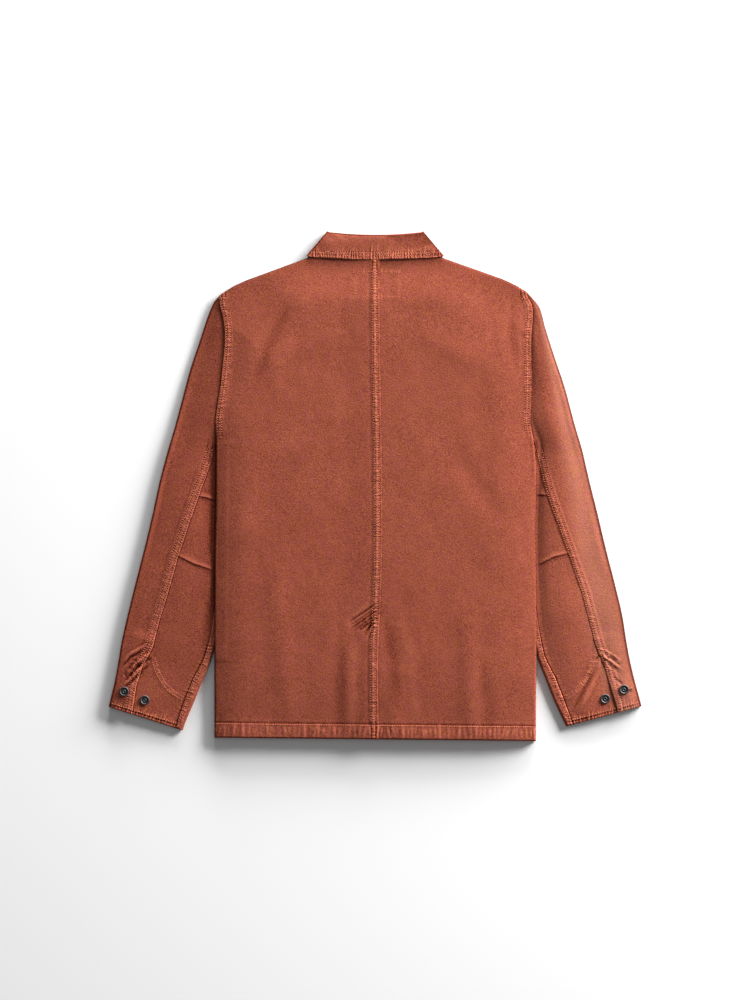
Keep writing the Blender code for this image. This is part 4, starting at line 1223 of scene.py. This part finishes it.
def sleeve_seams(sleeve, row, inward):
    """Distances of points of a sleeve from its elbow seam, its under seam and its cuff's edge."""
    elbow = inward - sleeve.seam("elbow", row)
    under = inward - sleeve.seam("under", row)
    return elbow, under, sleeve.runs[-1] - sleeve.run(row) + 0 * inward


def sleeve_rows(elbow, cuff, joined):
    """1 on the rows of stitches of a sleeve."""
    rows = sum(groove(elbow + at) for at in ELBOW_ROWS) * joined + groove(cuff - CUFF_GROOVE)
    return np.clip(rows, 0, 1)


def crumpled(side, across, up):
    """1 in the middle of the crumpled cloth beside a cuff's vent and 0 away from it."""
    middle, way, long, short = CRUMPLES[side]
    along = (across - middle[0]) * way[0] + (up - middle[1]) * way[1]
    aside = (across - middle[0]) * way[1] - (up - middle[1]) * way[0]
    return np.exp(-((along / long) ** 2) - (aside / short) ** 2)


def sleeve_relief(sleeve, row, inward, plan):
    side = sleeve.side
    run = sleeve.run(row) + 0 * inward
    across, up = plan[..., 0], plan[..., 1]
    joined = ease(ARMPIT_ROW, ARMPIT_ROW + 0.5, row)
    elbow, under, cuff = sleeve_seams(sleeve, row, inward)
    under_puckers = UNDER_PUCKERS[side](run, under + 3) * (0.4 + 0.6 * ease(-1, 1, under))
    puckers = ELBOW_PUCKERS[side](run, elbow + 6) * joined + under_puckers * joined
    puckers = puckers + CUFF_PUCKERS[side](inward, cuff - 4)
    puckers = puckers + stitched_path(FACING_PUCKERS, FACINGS[side], across, up) * (elbow > 0)
    slack = 0.35 * mottle(54, across, up, 60) + 0.1 * mottle(55, across, up, 24)
    fine = 0.55 * mottle(58, across, up, 3.2) + 0.3 * mottle(59, across, up, 2.2)
    slack += crumpled(side, across, up) * fine
    tucks = sum(tuck_height(tuck, across, up) for tuck in ELBOW_TUCKS[side]) * (elbow > -1)
    relief = puckers + slack + tucks + creased(SLEEVE_CREASES[side], across, up)
    relief = relief - GROOVE * sleeve_rows(elbow, cuff, joined)
    beyond = inward - (sleeve.breadth(row) - INNER_FLAT)
    tucked = ease(-4, 4, beyond) * ease(6.0, 6.6, row) * (1 - ease(*RETURN_SHOWN, row))
    return relief * (1 - tucked)


def sleeve_tone(sleeve, row, inward, plan):
    """Paler bands along the seams, with painted shade in the rows of stitches, under the tucks, beside the
    seams, at the rims, beside the body's edge and in the crumpled cloth, painted highlights on the seams'
    edges, and the left sleeve painted darker and the right one lighter.
    """
    across, up = plan[..., 0], plan[..., 1]
    joined = ease(ARMPIT_ROW, ARMPIT_ROW + 0.5, row)
    elbow, under, cuff = sleeve_seams(sleeve, row, inward)
    bands = (ease(-13, -10, elbow) * (elbow < 0.5) + ease(-2, 0, under)) * joined
    pebbles = PEBBLE_TONE * mottle(65, across, up, 2.6)
    bands = (SLEEVE_BAND_TONE[sleeve.side] + pebbles) * np.maximum(bands, 1 - ease(12, 16, cuff))
    near, share, _, off = path_frame(FACINGS[sleeve.side], across, up, 8.0)
    facing = np.zeros(across.shape)
    facing[near] = (1 - ease(2.5, 5, np.abs(off))) * np.sin(np.pi * share) ** 0.3
    bands = bands + (0.6 * BAND_TONE + pebbles) * facing * (elbow > 0)
    tucks = sum(tuck_line(tuck, across, up) for tuck in ELBOW_TUCKS[sleeve.side]) * (elbow > -1)
    # A painted highlight along the upper sleeve's elbow edge, stronger at the left cuff's vent.
    at_vent = 0.5 * ease(12.4, 12.8, row) * (sleeve.side == "left")
    edge = EDGE_HIGHLIGHT[sleeve.side] * (1 + at_vent) * ease(-1.7, -0.6, elbow) * (elbow < 0.3) * joined
    # Painted shadow on the under sleeve just beside the elbow seam, weaker at the right cuff, and a painted
    # shade line beside the under seam.
    pressed = 0.7 * ease(11.6, 12.2, row) * (1 - ease(13.1, 13.5, row)) * (sleeve.side == "right")
    edge = edge - 0.9 * ease(0.1, 0.4, elbow) * (1 - ease(1.2, 2.2, elbow)) * joined * (1 - pressed)
    edge = edge - 1.3 * ease(-2.7, -1.3, under) * (under < 0.5) * ease(*RETURN_SHOWN, row)
    # Painted shade on the rim at the outer fold.
    edge = edge - RIM_SHADE[sleeve.side] * (1 - ease(FOLD_REACH, FOLD_REACH + 2, inward))
    # Mottled painted shade in the crumpled cloth beside the cuff's vent.
    shade_patch = CRUMPLE_SHADE[sleeve.side] - CRUMPLE_PEBBLES[sleeve.side] * mottle(60, across, up, 3)
    edge = edge - crumpled(sleeve.side, across, up) * shade_patch
    # The left sleeve is painted darker and the right one lighter, between the rows of BELOW_ROWS.
    at_cuff = 0.7 * ease(12.6, 14.5, row) * (sleeve.side == "left")
    below = ease(*BELOW_ROWS[sleeve.side], row) * (1 - at_cuff)
    edge = edge + SLEEVE_LIGHT_AND_SHADE[sleeve.side] * below
    near, share, _, off = path_frame(BUTTONHOLE, across, up, 6.0)
    hole = 1.4 * (1 - ease(2.6, 4.0, np.abs(off))) * ease(0, 0.1, share) * ease(0, 0.1, 1 - share)
    edge[near] = edge[near] - hole
    # Painted shadow on the sleeve right beside the body's edge.
    outside = np.abs(across) - SIDE_CURVES[sleeve.side](up)
    edge = edge - CONTACT_SHADOW[sleeve.side] * (1 - ease(0.6, 2.2, outside))
    # Painted shade on the left under sleeve towards the body.
    edge = edge - INNER_SHADE[sleeve.side] * (1 - ease(3, 24, outside)) * joined
    return bands + edge - GROOVE_SHADE * sleeve_rows(elbow, cuff, joined) - TUCK_SHADOW * tucks


def sleeve_highlight_share(sleeve, row, inward):
    """How much of the painted highlight colour a sleeve gets: the right one is painted paler and greyer
    towards its outer fold, where the light falls on it.
    """
    share = inward / sleeve.breadth(row)
    return SLEEVE_HIGHLIGHT[sleeve.side] * (1 - ease(0.22, 0.5, share)) * ease(-0.05, 0.12, share)


def build_upper_sleeve(side, finish):
    sleeve = Sleeve(side)
    row = sleeve.stations(0, SLEEVE_STATIONS)[:, None]
    joined = ease(ARMPIT_ROW, UNDER_START_ROW, row)
    breadth = sleeve.breadth(row)
    radius = np.minimum(FOLD_REACH, breadth / 3)
    inner_radius = sleeve.inner_height(row) / 2
    inner_reach = sleeve.inner_reach(row)
    start = sleeve.seam("elbow", row) * joined + (breadth + CAP_LAP) * (1 - joined)
    lead = SEAM_COLUMNS[:-2]
    rest = np.linspace(0, 1, TOP_COLUMNS - len(lead) + 1)[1:]
    lead = lead * np.minimum(1, (start - radius) / (2.5 * lead[-1]))
    last_lead = lead[:, -1:]
    inward = np.concatenate([start - lead, start - last_lead - (start - last_lead - radius) * rest], axis=1)
    plan = sleeve.plan(row + 0 * inward, inward)
    relief = sleeve_relief(sleeve, row, inward, plan)
    band = (1 - ease(ARMHOLE_BAND, ARMHOLE_BAND + 2 * BAND_EDGE, start - inward)) * ease(*BAND_ROWS, row)
    flat_edge = ease(radius, radius + 10, inward)
    relief = (relief + SLEEVE_BAND_RISE * band) * flat_edge
    cuff = sleeve.runs[-1] - sleeve.run(row)
    height = sleeve.skin(row, inward) + sleeve.cuff_lap(row, inward) + relief
    height = height - 0.7 * edge_drop(start - inward, 1.6) * joined
    height = height - CAP_DIP[side] * (1 - ease(-CAP_LAP, 0.5, breadth - inward)) * (1 - joined)
    height = height - 0.7 * edge_drop(cuff + 0 * inward, 1.8)
    sections, heights = [inward], [height]

    turns = np.radians(np.linspace(90, 270, ARC_COLUMNS + 1)[1:])
    sections.append(radius + radius * np.cos(turns))
    heights.append(height[:, -1:] / 2 * (1 + np.sin(turns)))
    share = np.linspace(0, 1, FLOOR_COLUMNS + 1)[1:]
    last = breadth - inner_reach
    floor_joined = radius + (last - radius) * share
    turns = np.radians(np.linspace(-90, 90, ARC_COLUMNS + 1)[1:])
    arc_joined = last + inner_reach * np.cos(turns)
    end = np.minimum(sleeve.seam("under", row), last - 0.3)
    end_joined = last + (end - last) * np.linspace(0, 1, END_COLUMNS + 1)[1:]
    ring = np.concatenate([floor_joined, arc_joined, end_joined], axis=1)
    run = sleeve.run(row) + 0 * end_joined
    beyond = end_joined - end
    shown = ease(*RETURN_SHOWN, row)
    return_relief = UNDER_PUCKERS[side](run, beyond - 3) * ease(0, 2, last - end_joined) * shown
    return_relief = return_relief - GROOVE * groove(beyond - UNDER_ROW)
    cuff_end = 0.7 * edge_drop(sleeve.runs[-1] - run, 1.8)
    rise = RETURN_RISE * (1 - edge_drop(beyond, 1.2)) * shown
    return_height = 2 * inner_radius + return_relief + rise - cuff_end
    ring_height = np.concatenate(
        [0 * floor_joined, inner_radius * (1 + np.sin(turns)), return_height], axis=1
    )
    share = np.linspace(0, 1, ring.shape[1] + 1)[1:]
    cap = radius + (breadth - radius) * share
    sections.append(ring * joined + cap * (1 - joined))
    heights.append(ring_height * joined)
    inward = np.concatenate(sections, axis=1)
    plan = sleeve.plan(row + 0 * inward, inward)
    face = np.dstack([plan, np.concatenate(heights, axis=1)])
    full = np.zeros(inward.shape)
    full[:, :TOP_COLUMNS] = relief
    full[:, -END_COLUMNS:] = return_relief * joined
    tone = np.zeros(inward.shape)
    tone[:, :TOP_COLUMNS] = sleeve_tone(sleeve, row, inward[:, :TOP_COLUMNS], plan[:, :TOP_COLUMNS])
    # Painted shade on the round of the outer fold.
    tone[:, TOP_COLUMNS : TOP_COLUMNS + ARC_COLUMNS] = -RIM_SHADE[side]
    # A painted highlight at the left return's edge and painted shade at the right one's.
    return_light_shade = RETURN_EDGE_LIGHT_SHADE[side] * (1 - ease(0.8, 1.8, beyond))
    pebbles = 0.6 * mottle(63, plan[:, -END_COLUMNS:, 0], plan[:, -END_COLUMNS:, 1], 2.6)
    # Painted shade in the groove of the return's row of stitches.
    stitches = GROOVE_SHADE * groove(beyond - UNDER_ROW)
    tone[:, -END_COLUMNS:] = (0.35 + pebbles + return_light_shade - stitches) * joined
    node = f"sleeve_{side}_upper"
    highlight_share = sleeve_highlight_share(sleeve, row, inward)
    add_cloth(node, face, True, finish, full, tone=tone, highlight_share=highlight_share)
    SKINS[node] = face[:, :TOP_COLUMNS]
    SKINS[f"sleeve_{side}_return"] = face[row[:, 0] > BAND_ROWS[0]][:, -END_COLUMNS - 1 :]


def build_under_sleeve(side, finish):
    sleeve = Sleeve(side)
    row = sleeve.stations(UNDER_START_ROW, UNDER_STATIONS)[:, None]
    last = sleeve.breadth(row) - sleeve.inner_reach(row)
    end = np.minimum(sleeve.seam("under", row), last - 0.3)
    lapped = ease(*CUFF_UNDERLAP_ROWS, row)
    begin = sleeve.seam("elbow", row) - UNDER_LAP - (CUFF_UNDERLAP - UNDER_LAP) * lapped
    tip = np.minimum(end + UNDER_LAP, last + 0.6)
    share = np.linspace(0, 1, UNDER_COLUMNS)
    inward = begin + (tip - begin) * share
    plan = sleeve.plan(row + 0 * inward, inward)
    relief = sleeve_relief(sleeve, row, inward, plan)
    height = sleeve.skin(row, inward) + relief
    elbow = inward - sleeve.seam("elbow", row)
    beneath = 1 - ease(-1.5, 0.8, elbow)
    height = height - 1.15 * beneath * (1 - lapped) - 0.6 * beneath * lapped
    height = height - 1.0 * ease(-0.8, 1.0, inward - end)
    cuff = sleeve.runs[-1] - sleeve.run(row)
    height = height - 0.7 * edge_drop(cuff + 0 * inward, 1.8)
    face = np.dstack([plan, height])
    tone = sleeve_tone(sleeve, row, inward, plan)
    highlight_share = sleeve_highlight_share(sleeve, row, inward)
    add_cloth(f"sleeve_{side}_under", face, True, finish, relief, tone=tone, highlight_share=highlight_share)


# Collar

CollarPlace = namedtuple("CollarPlace", "roll stand_end fall_end outward turn")
BACK_PLACES = 301
TURN_PLACES = 9
FRONT_PLACES = 31
COLLAR_PUCKERS = Puckers(101, 300, 3.7, 0.7, 11.0, 0.1)
COLLAR_ROWS = (5.2, 10.5)
COLLAR_FULLNESS = 1.75
STAND_SHARES = (1, 0.7, 0.4, 0.15)


def collar_back(share):
    roll = (ROLL_HALF * share, ROLL_CORNER - ROLL_DIP * (1 - share**2))
    neck = (NECK_HALF - 0.8) * share
    stand_end = (neck, back_top("right", neck) + 0.5)
    fall_end = (FALL_HALF * share, FALL_CORNER - FALL_DIP * (1 - share**2))
    return CollarPlace(np.array(roll), stand_end, fall_end, np.zeros(2), math.pi / 2)


def collar_front(angle):
    """A station on the front half: angle runs from the centre front (0) to the shoulder (90 degrees)."""
    along, drop = math.sin(angle), math.cos(angle)
    roll = (ROLL_HALF * along, ROLL_CORNER - COLLAR_FRONT_ROLL * drop)
    stand_end = ((NECK_HALF - 0.8) * along, NECK_POINT + 0.5 - (FRONT_NECK_DEPTH - 0.6) * drop)
    fall_across = FALL_HALF - (FALL_HALF - COLLAR_TIP_ACROSS) * drop
    fall_end = (fall_across, FALL_CORNER - (FALL_CORNER - COLLAR_TIP_UP) * drop)
    return CollarPlace(np.array(roll), stand_end, fall_end, np.zeros(2), -math.pi / 2)


def mirrored(place):
    flip = np.array([-1.0, 1.0])
    return CollarPlace(
        place.roll * flip, place.stand_end * flip, place.fall_end * flip, place.outward * flip, place.turn
    )


def collar_places():
    """Stations round the neck, from the left front end, over the back, to the right front end."""
    corner = collar_front(math.pi / 2)
    run = np.array(corner.fall_end) - corner.roll
    outward = np.array([-run[1], run[0]]) / np.hypot(*run)
    turns = np.radians(np.linspace(90, -90, TURN_PLACES + 2)[1:-1])
    turn = [corner._replace(outward=outward, turn=float(angle)) for angle in turns]
    back = [collar_back(share) for share in np.linspace(0, 1, BACK_PLACES // 2 + 1)]
    angles = np.linspace(math.pi / 2, math.radians(COLLAR_FRONT_END), FRONT_PLACES)
    front = [collar_front(angle) for angle in angles]
    right = back + turn + front
    return [mirrored(place) for place in reversed(right[1:])] + right


def collar_section(place):
    """Points of the collar's outer side: up the stand, over the roll and down the fall."""
    nose = (FALL_LOW + WALL - STAND_LOW) / 2
    middle = STAND_LOW + nose

    def spot(end, distance, radius):
        run = np.array(end) - place.roll
        plan = place.roll + run / np.hypot(*run) * distance
        plan = plan + place.outward * math.cos(place.turn) * radius
        rise = math.sin(place.turn) * radius
        height = COLLAR_AXIS + rise * (COLLAR_FULLNESS if rise > 0 else 1)
        return (*plan, height)

    stand = float(np.hypot(*(np.array(place.stand_end) - place.roll)))
    fall = float(np.hypot(*(np.array(place.fall_end) - place.roll)))
    points = []
    for share in STAND_SHARES:
        points.append(spot(place.stand_end, nose + (stand - nose) * share, STAND_LOW))
    for angle in np.linspace(-90, 90, 9):
        deep, wide = math.cos(math.radians(angle)), math.sin(math.radians(angle))
        end = place.stand_end if angle < 0 else place.fall_end
        points.append(spot(end, nose - nose * deep, middle + nose * wide))
    for edge in fall_edges(place):
        lowered = FALL_LOW + WALL - 0.08 * float(edge_drop(edge, 1.2))
        points.append(spot(place.fall_end, fall - edge, lowered))
    return points


def fall_edges(place):
    """Distances from the fall's edge at which the collar has points, from the roll down."""
    fall = float(np.hypot(*(np.array(place.fall_end) - place.roll)))
    nose = (FALL_LOW + WALL - STAND_LOW) / 2
    smooth = np.linspace(fall - nose, 15, 13)[1:]
    return np.concatenate([smooth, np.arange(13.9, 2, -1.1), EDGE_OFFSETS[::-1]])


def build_collar(finish):
    places = collar_places()
    face = np.array([collar_section(place) for place in places])
    edges = np.array([fall_edges(place) for place in places])
    fall = slice(face.shape[1] - edges.shape[1], None)
    upward = np.array([[max(0.0, math.sin(place.turn))] for place in places])
    across, up = face[:, fall, 0], face[:, fall, 1]
    rows = sum(groove(edges - at) for at in COLLAR_ROWS)
    fade = ease(0, 1.5, edges)
    relief = COLLAR_PUCKERS(across + 150, edges - 4.0) - 0.7 * GROOVE * rows
    relief = upward * fade * (relief + 0.5 * mottle(56, across, up, 30) + 0.2 * mottle(57, across, up, 11))
    face[:, fall, 2] += relief
    tone = np.zeros(face.shape[:2])
    # Painted shade on the collar's stand and roll.
    tone[:, : fall.start] = -0.7
    # A paler band near the fall's edge, a painted highlight along its lower lip and painted shade in its
    # stitch grooves.
    lines = GROOVE_SHADE * groove(edges - COLLAR_ROWS[0]) + 0.15 * groove(edges - COLLAR_ROWS[1])
    tone[:, fall] += 0.3 * (1 - ease(9, 16, edges)) + 0.9 * (1 - ease(1.0, 2.4, edges)) - lines
    # Painted shade on the collar's turned ends and front, darker on the right.
    beside = np.array([[-1.6 if place.roll[0] > 0 else -0.9] for place in places])
    tone = np.where(upward > 0.995, tone, beside)
    full = np.zeros(face.shape[:2])
    full[:, fall] = relief
    add_cloth("collar", face, True, finish, full, column=face.shape[1] - 8, tone=tone)
    SKINS["collar"] = face[:, 10:]


# Stitching

THREADS = {}


def resampled(path, pitch):
    path = np.asarray(path, float)
    run = np.concatenate([[0], np.cumsum(np.hypot(*np.diff(path, axis=0).T))])
    at = np.linspace(0, run[-1], max(2, round(run[-1] / pitch) + 1))
    return np.column_stack([np.interp(at, run, path[:, axis]) for axis in (0, 1)])


def stitch(skin, path, pitch=STITCH_PITCH, thickness=1.0):
    """Sews a row of stitches on a skin of the cloth along a path of (across, up)."""
    THREADS.setdefault(skin, []).append((resampled(path, pitch), thickness * THREAD_RADIUS))


def surface_finder(face):
    """A function that gives a cloth piece's height at plan points."""
    showing = face.reshape(-1, 3)
    tree = kdtree.KDTree(len(showing))
    for number, (across, up, _) in enumerate(showing):
        tree.insert((across, up, 0), number)
    tree.balance()

    def height(across, up):
        found = tree.find_n((across, up, 0), 3)
        weights = [1 / (distance + 0.05) for _, _, distance in found]
        return sum(w * showing[number, 2] for w, (_, number, _) in zip(weights, found)) / sum(weights)

    return height


BAR_SHARES = (0.0, 0.3, 0.7, 1.0)
BAR_RADII = (0.45, 1.0, 1.0, 0.45)
BAR_LIFTS = (-0.22, 0.12, 0.12, -0.22)
BAR_SIDES = 5


def thread_mesh(skin, finish):
    """All the stitches of one skin, each a short rounded bar that dips in at both ends."""
    height = surface_finder(SKINS[skin])
    points, quads, triangles = [], [], []
    angles = np.arange(BAR_SIDES) * 2 * math.pi / BAR_SIDES
    spare = (STITCH_PITCH - STITCH_LENGTH) / 2 / STITCH_PITCH
    for path, thickness in THREADS[skin]:
        heights = [height(*point) for point in path]
        spots = np.column_stack([path, heights])
        for start, end in zip(spots, spots[1:]):
            direction = (end - start) / np.linalg.norm(end - start)
            aside = np.array([-direction[1], direction[0], 0])
            aside /= np.linalg.norm(aside)
            first = sum(len(part) for part in points)
            for share, radius, lift in zip(BAR_SHARES, BAR_RADII, BAR_LIFTS):
                centre = start + (end - start) * (spare + (1 - 2 * spare) * share)
                ring = centre + thickness * radius * (
                    np.outer(np.cos(angles), aside) + np.outer(np.sin(angles), (0, 0, 0.8))
                )
                points.append(ring + (0, 0, lift))
            faces = ring_faces(first, len(BAR_SHARES), BAR_SIDES)
            quads += faces[0]
            triangles += faces[1]
    made = add_mesh("stitches_" + skin, np.concatenate(points), quads, triangles, finish)
    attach(made, "root")


def sew_body():
    ups = np.linspace(30, 705, 200)
    seam = CENTRE_SEAM_CURVE(ups)
    for distance in CENTRE_ROWS:
        stitch("back_left", np.column_stack([seam - distance, ups]))
    for side, sign in SIGN.items():
        node = "back_" + side
        ups = np.linspace(462, 664, 80)
        for inset in ARMHOLE_ROWS:
            stitch(node, np.column_stack([sign * (SIDE_CURVES[side](ups) - inset), ups]))
        start = CENTRE_SEAM_CURVE(0) if side == "left" else CENTRE_SEAM_CURVE(0) + 1.5
        across = np.linspace(start - 0.8, sign * 238, 60)
        stitch(node, np.column_stack([across, hem_line(across) + HEM_THREAD]), thickness=0.75)
    stitch("back_right", ((25, 6), (25, 24)))
    for path in (((-30.2, 703.5), (-8, 703.5)), ((-30.2, 665), (-8, 665)), ((-30.2, 703.5), (-30.2, 665))):
        stitch("back_left", path, thickness=0.4)
    stitch("back_right", ((8, 703.5), (34.3, 703.5), (34.3, 665), (8, 665)), thickness=0.4)
    for step in range(-3, 4):
        stitch("back_left", ((-2, 172.5 + step * 0.45), (6, 172.5 + step * 0.45)), 1.6)


def sew_sleeve(side):
    sleeve = Sleeve(side)
    upper, under = f"sleeve_{side}_upper", f"sleeve_{side}_under"
    rows = np.linspace(BAND_ROWS[0] - 0.4, 16.6, 200)
    for distance in ELBOW_ROWS:
        stitch(upper, sleeve.plan(rows, sleeve.seam("elbow", rows) - distance))
    last_run = sleeve.runs[-1] - CUFF_THREAD
    row = float(np.interp(last_run, sleeve.runs, sleeve.numbers))
    edge = float(sleeve.seam("elbow", row))
    inward = np.linspace(3, edge - 1.5, 20)
    stitch(upper, sleeve.plan(row + 0 * inward, inward))
    end = float(sleeve.seam("under", row))
    inward = np.linspace(edge + 1.5, end - 1, 20)
    stitch(under, sleeve.plan(row + 0 * inward, inward))
    rows = np.linspace(BAND_ROWS[0] + 0.3, 16.8, 200)
    stitch(f"sleeve_{side}_return", sleeve.plan(rows, sleeve.seam("under", rows) + UNDER_ROW))
    facing = np.array(FACINGS[side], float)
    run = np.arange(len(facing))
    fine = np.linspace(0.1, run[-1], 40)
    line = np.column_stack([np.interp(fine, run, facing[:, axis]) for axis in (0, 1)])
    along = np.gradient(line, axis=0)
    aside = np.column_stack([-along[:, 1], along[:, 0]]) / np.hypot(*along.T)[:, None]
    for off in (-2.6, 2.6):
        stitch(under, line + aside * off, thickness=0.7)


def sew_buttonhole(skin, centre, along, reach):
    """A row of short bars across a line out of a button's centre."""
    along = np.array(along) / np.hypot(*along)
    aside = np.array([-along[1], along[0]])
    for distance in np.arange(*reach, 1.1):
        middle = np.array(centre) + along * distance
        stitch(skin, (middle - aside * 2.3, middle + aside * 2.3), pitch=4.6, thickness=0.7)


def sew_collar():
    for edge in COLLAR_ROWS:
        shares = np.linspace(-1, 1, 80)
        points = []
        for share in shares:
            place = collar_back(abs(share))
            run = np.array(place.fall_end) - place.roll
            spot = place.fall_end - run / np.hypot(*run) * edge
            points.append((math.copysign(spot[0], share), spot[1]))
        stitch("collar", points)


# Buttons


def metal_material():
    made = bpy.data.materials.new("gunmetal")
    made.use_nodes = True
    tree = made.node_tree
    shader = tree.nodes["Principled BSDF"]
    place = node_of(tree, "ShaderNodeTexCoord")
    patina = node_of(tree, "ShaderNodeTexNoise", Scale=900.0, Detail=4.0, Roughness=0.6)
    tree.links.new(place.outputs["Object"], patina.inputs["Vector"])
    tone = node_of(tree, "ShaderNodeValToRGB")
    tone.color_ramp.elements[0].position = 0.35
    tone.color_ramp.elements[0].color = (0.042, 0.042, 0.047, 1)
    tone.color_ramp.elements[1].position = 0.7
    tone.color_ramp.elements[1].color = (0.125, 0.12, 0.12, 1)
    tree.links.new(patina.outputs["Fac"], tone.inputs["Fac"])
    tree.links.new(tone.outputs["Color"], shader.inputs["Base Color"])
    shader.inputs["Metallic"].default_value = 1.0
    shader.inputs["Roughness"].default_value = 0.6
    return made


ButtonRing = namedtuple("ButtonRing", "share height")
BUTTON_PROFILE = (
    ButtonRing(0.86, 0.0),
    ButtonRing(0.96, 0.1),
    ButtonRing(1.00, 0.5),
    ButtonRing(0.99, 1.0),
    ButtonRing(0.95, 1.4),
    ButtonRing(0.88, 1.6),
    ButtonRing(0.80, 1.6),
    ButtonRing(0.73, 1.4),
    ButtonRing(0.67, 0.9),
    ButtonRing(0.62, 0.45),
    ButtonRing(0.50, 0.35),
    ButtonRing(0.42, 0.5),
    ButtonRing(0.37, 1.1),
    ButtonRing(0.31, 1.4),
    ButtonRing(0.24, 1.4),
    ButtonRing(0.19, 1.1),
    ButtonRing(0.14, 0.5),
    ButtonRing(0.07, 0.35),
    ButtonRing(0.03, 0.34),
)
BUTTON_SIDES = 40


def button_seat(node, centre):
    """Height and two slopes of the cloth under a cuff button, which lies on it."""
    layer = "upper" if node.endswith("1") else "under"
    side = "left" if "left" in node else "right"
    height = surface_finder(SKINS[f"sleeve_{side}_{layer}"])
    step = 0.7 * BUTTON_RADIUS
    spots = [(step, 0), (-step, 0), (0, step), (0, -step), (0, 0)]
    right, left, over, under, middle = (height(centre[0] + x, centre[1] + y) for x, y in spots)
    seat = max(middle, (right + left) / 2, (over + under) / 2)
    return seat, (right - left) / (2 * step), (over - under) / (2 * step)


def build_button(node, finish):
    low, high = (np.array(corner) / MM + (0, LENGTH / 2, 0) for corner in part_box(node))
    centre = (low + high) / 2
    if node.startswith("cuff"):
        way = 1
        base, slope_across, slope_up = button_seat(node, centre)
    else:
        way = -1
        base, slope_across, slope_up = high[2], 0.0, 0.0
    points = []
    for ring in BUTTON_PROFILE:
        radius = BUTTON_RADIUS * ring.share
        for number in range(BUTTON_SIDES):
            angle = 2 * math.pi * number / BUTTON_SIDES
            x, y = radius * math.cos(angle), radius * math.sin(angle)
            lift = base + slope_across * x + slope_up * y + way * ring.height
            points.append((centre[0] + x, centre[1] + y, lift))
    quads, triangles = ring_faces(0, len(BUTTON_PROFILE), BUTTON_SIDES)
    made = add_mesh("dress_" + node, points, quads, triangles, finish)
    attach(made, "root")
    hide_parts(node)


# Floor, light and camera


def build_floor():
    mesh = bpy.data.meshes.new("floor")
    half, depth = 6.0, -0.0002
    corners = [(-half, -half, depth), (half, -half, depth), (half, half, depth), (-half, half, depth)]
    mesh.from_pydata(corners, [], [(0, 1, 2, 3)])
    finish = bpy.data.materials.new("floor")
    finish.use_nodes = True
    shader = finish.node_tree.nodes["Principled BSDF"]
    shader.inputs["Base Color"].default_value = (0.92, 0.92, 0.92, 1)
    shader.inputs["Roughness"].default_value = 0.9
    shader.inputs["Specular IOR Level"].default_value = 0.1
    mesh.materials.append(finish)
    floor = placed("floor", mesh)


def add_area_light(name, place, target, width, height, power):
    light = bpy.data.lights.new(name, "AREA")
    light.shape = "RECTANGLE"
    light.size, light.size_y = width, height
    light.energy = power
    made = placed(name, light)
    made.location = place
    direction = np.array(target, float) - place
    made.rotation_euler = Vector(direction).to_track_quat("-Z", "Y").to_euler()


def build_light():
    world = bpy.data.worlds.new("studio")
    bpy.context.scene.world = world
    world.use_nodes = True
    background = world.node_tree.nodes["Background"]
    background.inputs["Color"].default_value = (1.0, 1.0, 1.0, 1)
    background.inputs["Strength"].default_value = 0.20
    add_area_light("key", (3.25, 2.45, 0.76), (0, 0, 0), 2.4, 1.15, 820)
    add_area_light("top", (1.40, 7.90, 0.90), (0, 0, 0), 5.0, 1.2, 1500)


def build_camera():
    data = bpy.data.cameras.new("camera")
    height = 5.0
    data.sensor_width = 36.0
    data.lens = 36.0 * height / 1.5
    camera = placed("camera", data)
    camera.location = (-0.0002, -0.0205, height)
    bpy.context.scene.camera = camera


build_floor()
build_light()
build_camera()
canvas = cloth_material("canvas", LIGHT_RUST, DARK_RUST, 0.0)
thread = cloth_material("thread", LIGHT_THREAD, DARK_THREAD, 3.0)
for side in SIGN:
    build_front(side, canvas)
    build_back(side, canvas)
    build_upper_sleeve(side, canvas)
    build_under_sleeve(side, canvas)
build_collar(canvas)
sew_body()
sew_collar()
for side in SIGN:
    sew_sleeve(side)
sew_buttonhole("sleeve_right_upper", (372, 76), (0.96, 0.27), (7.6, 13.5))
for skin in THREADS:
    thread_mesh(skin, thread)
metal = metal_material()
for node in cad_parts:
    if "button" in node:
        build_button(node, metal)

bpy.context.scene.view_settings.view_transform = "Standard"
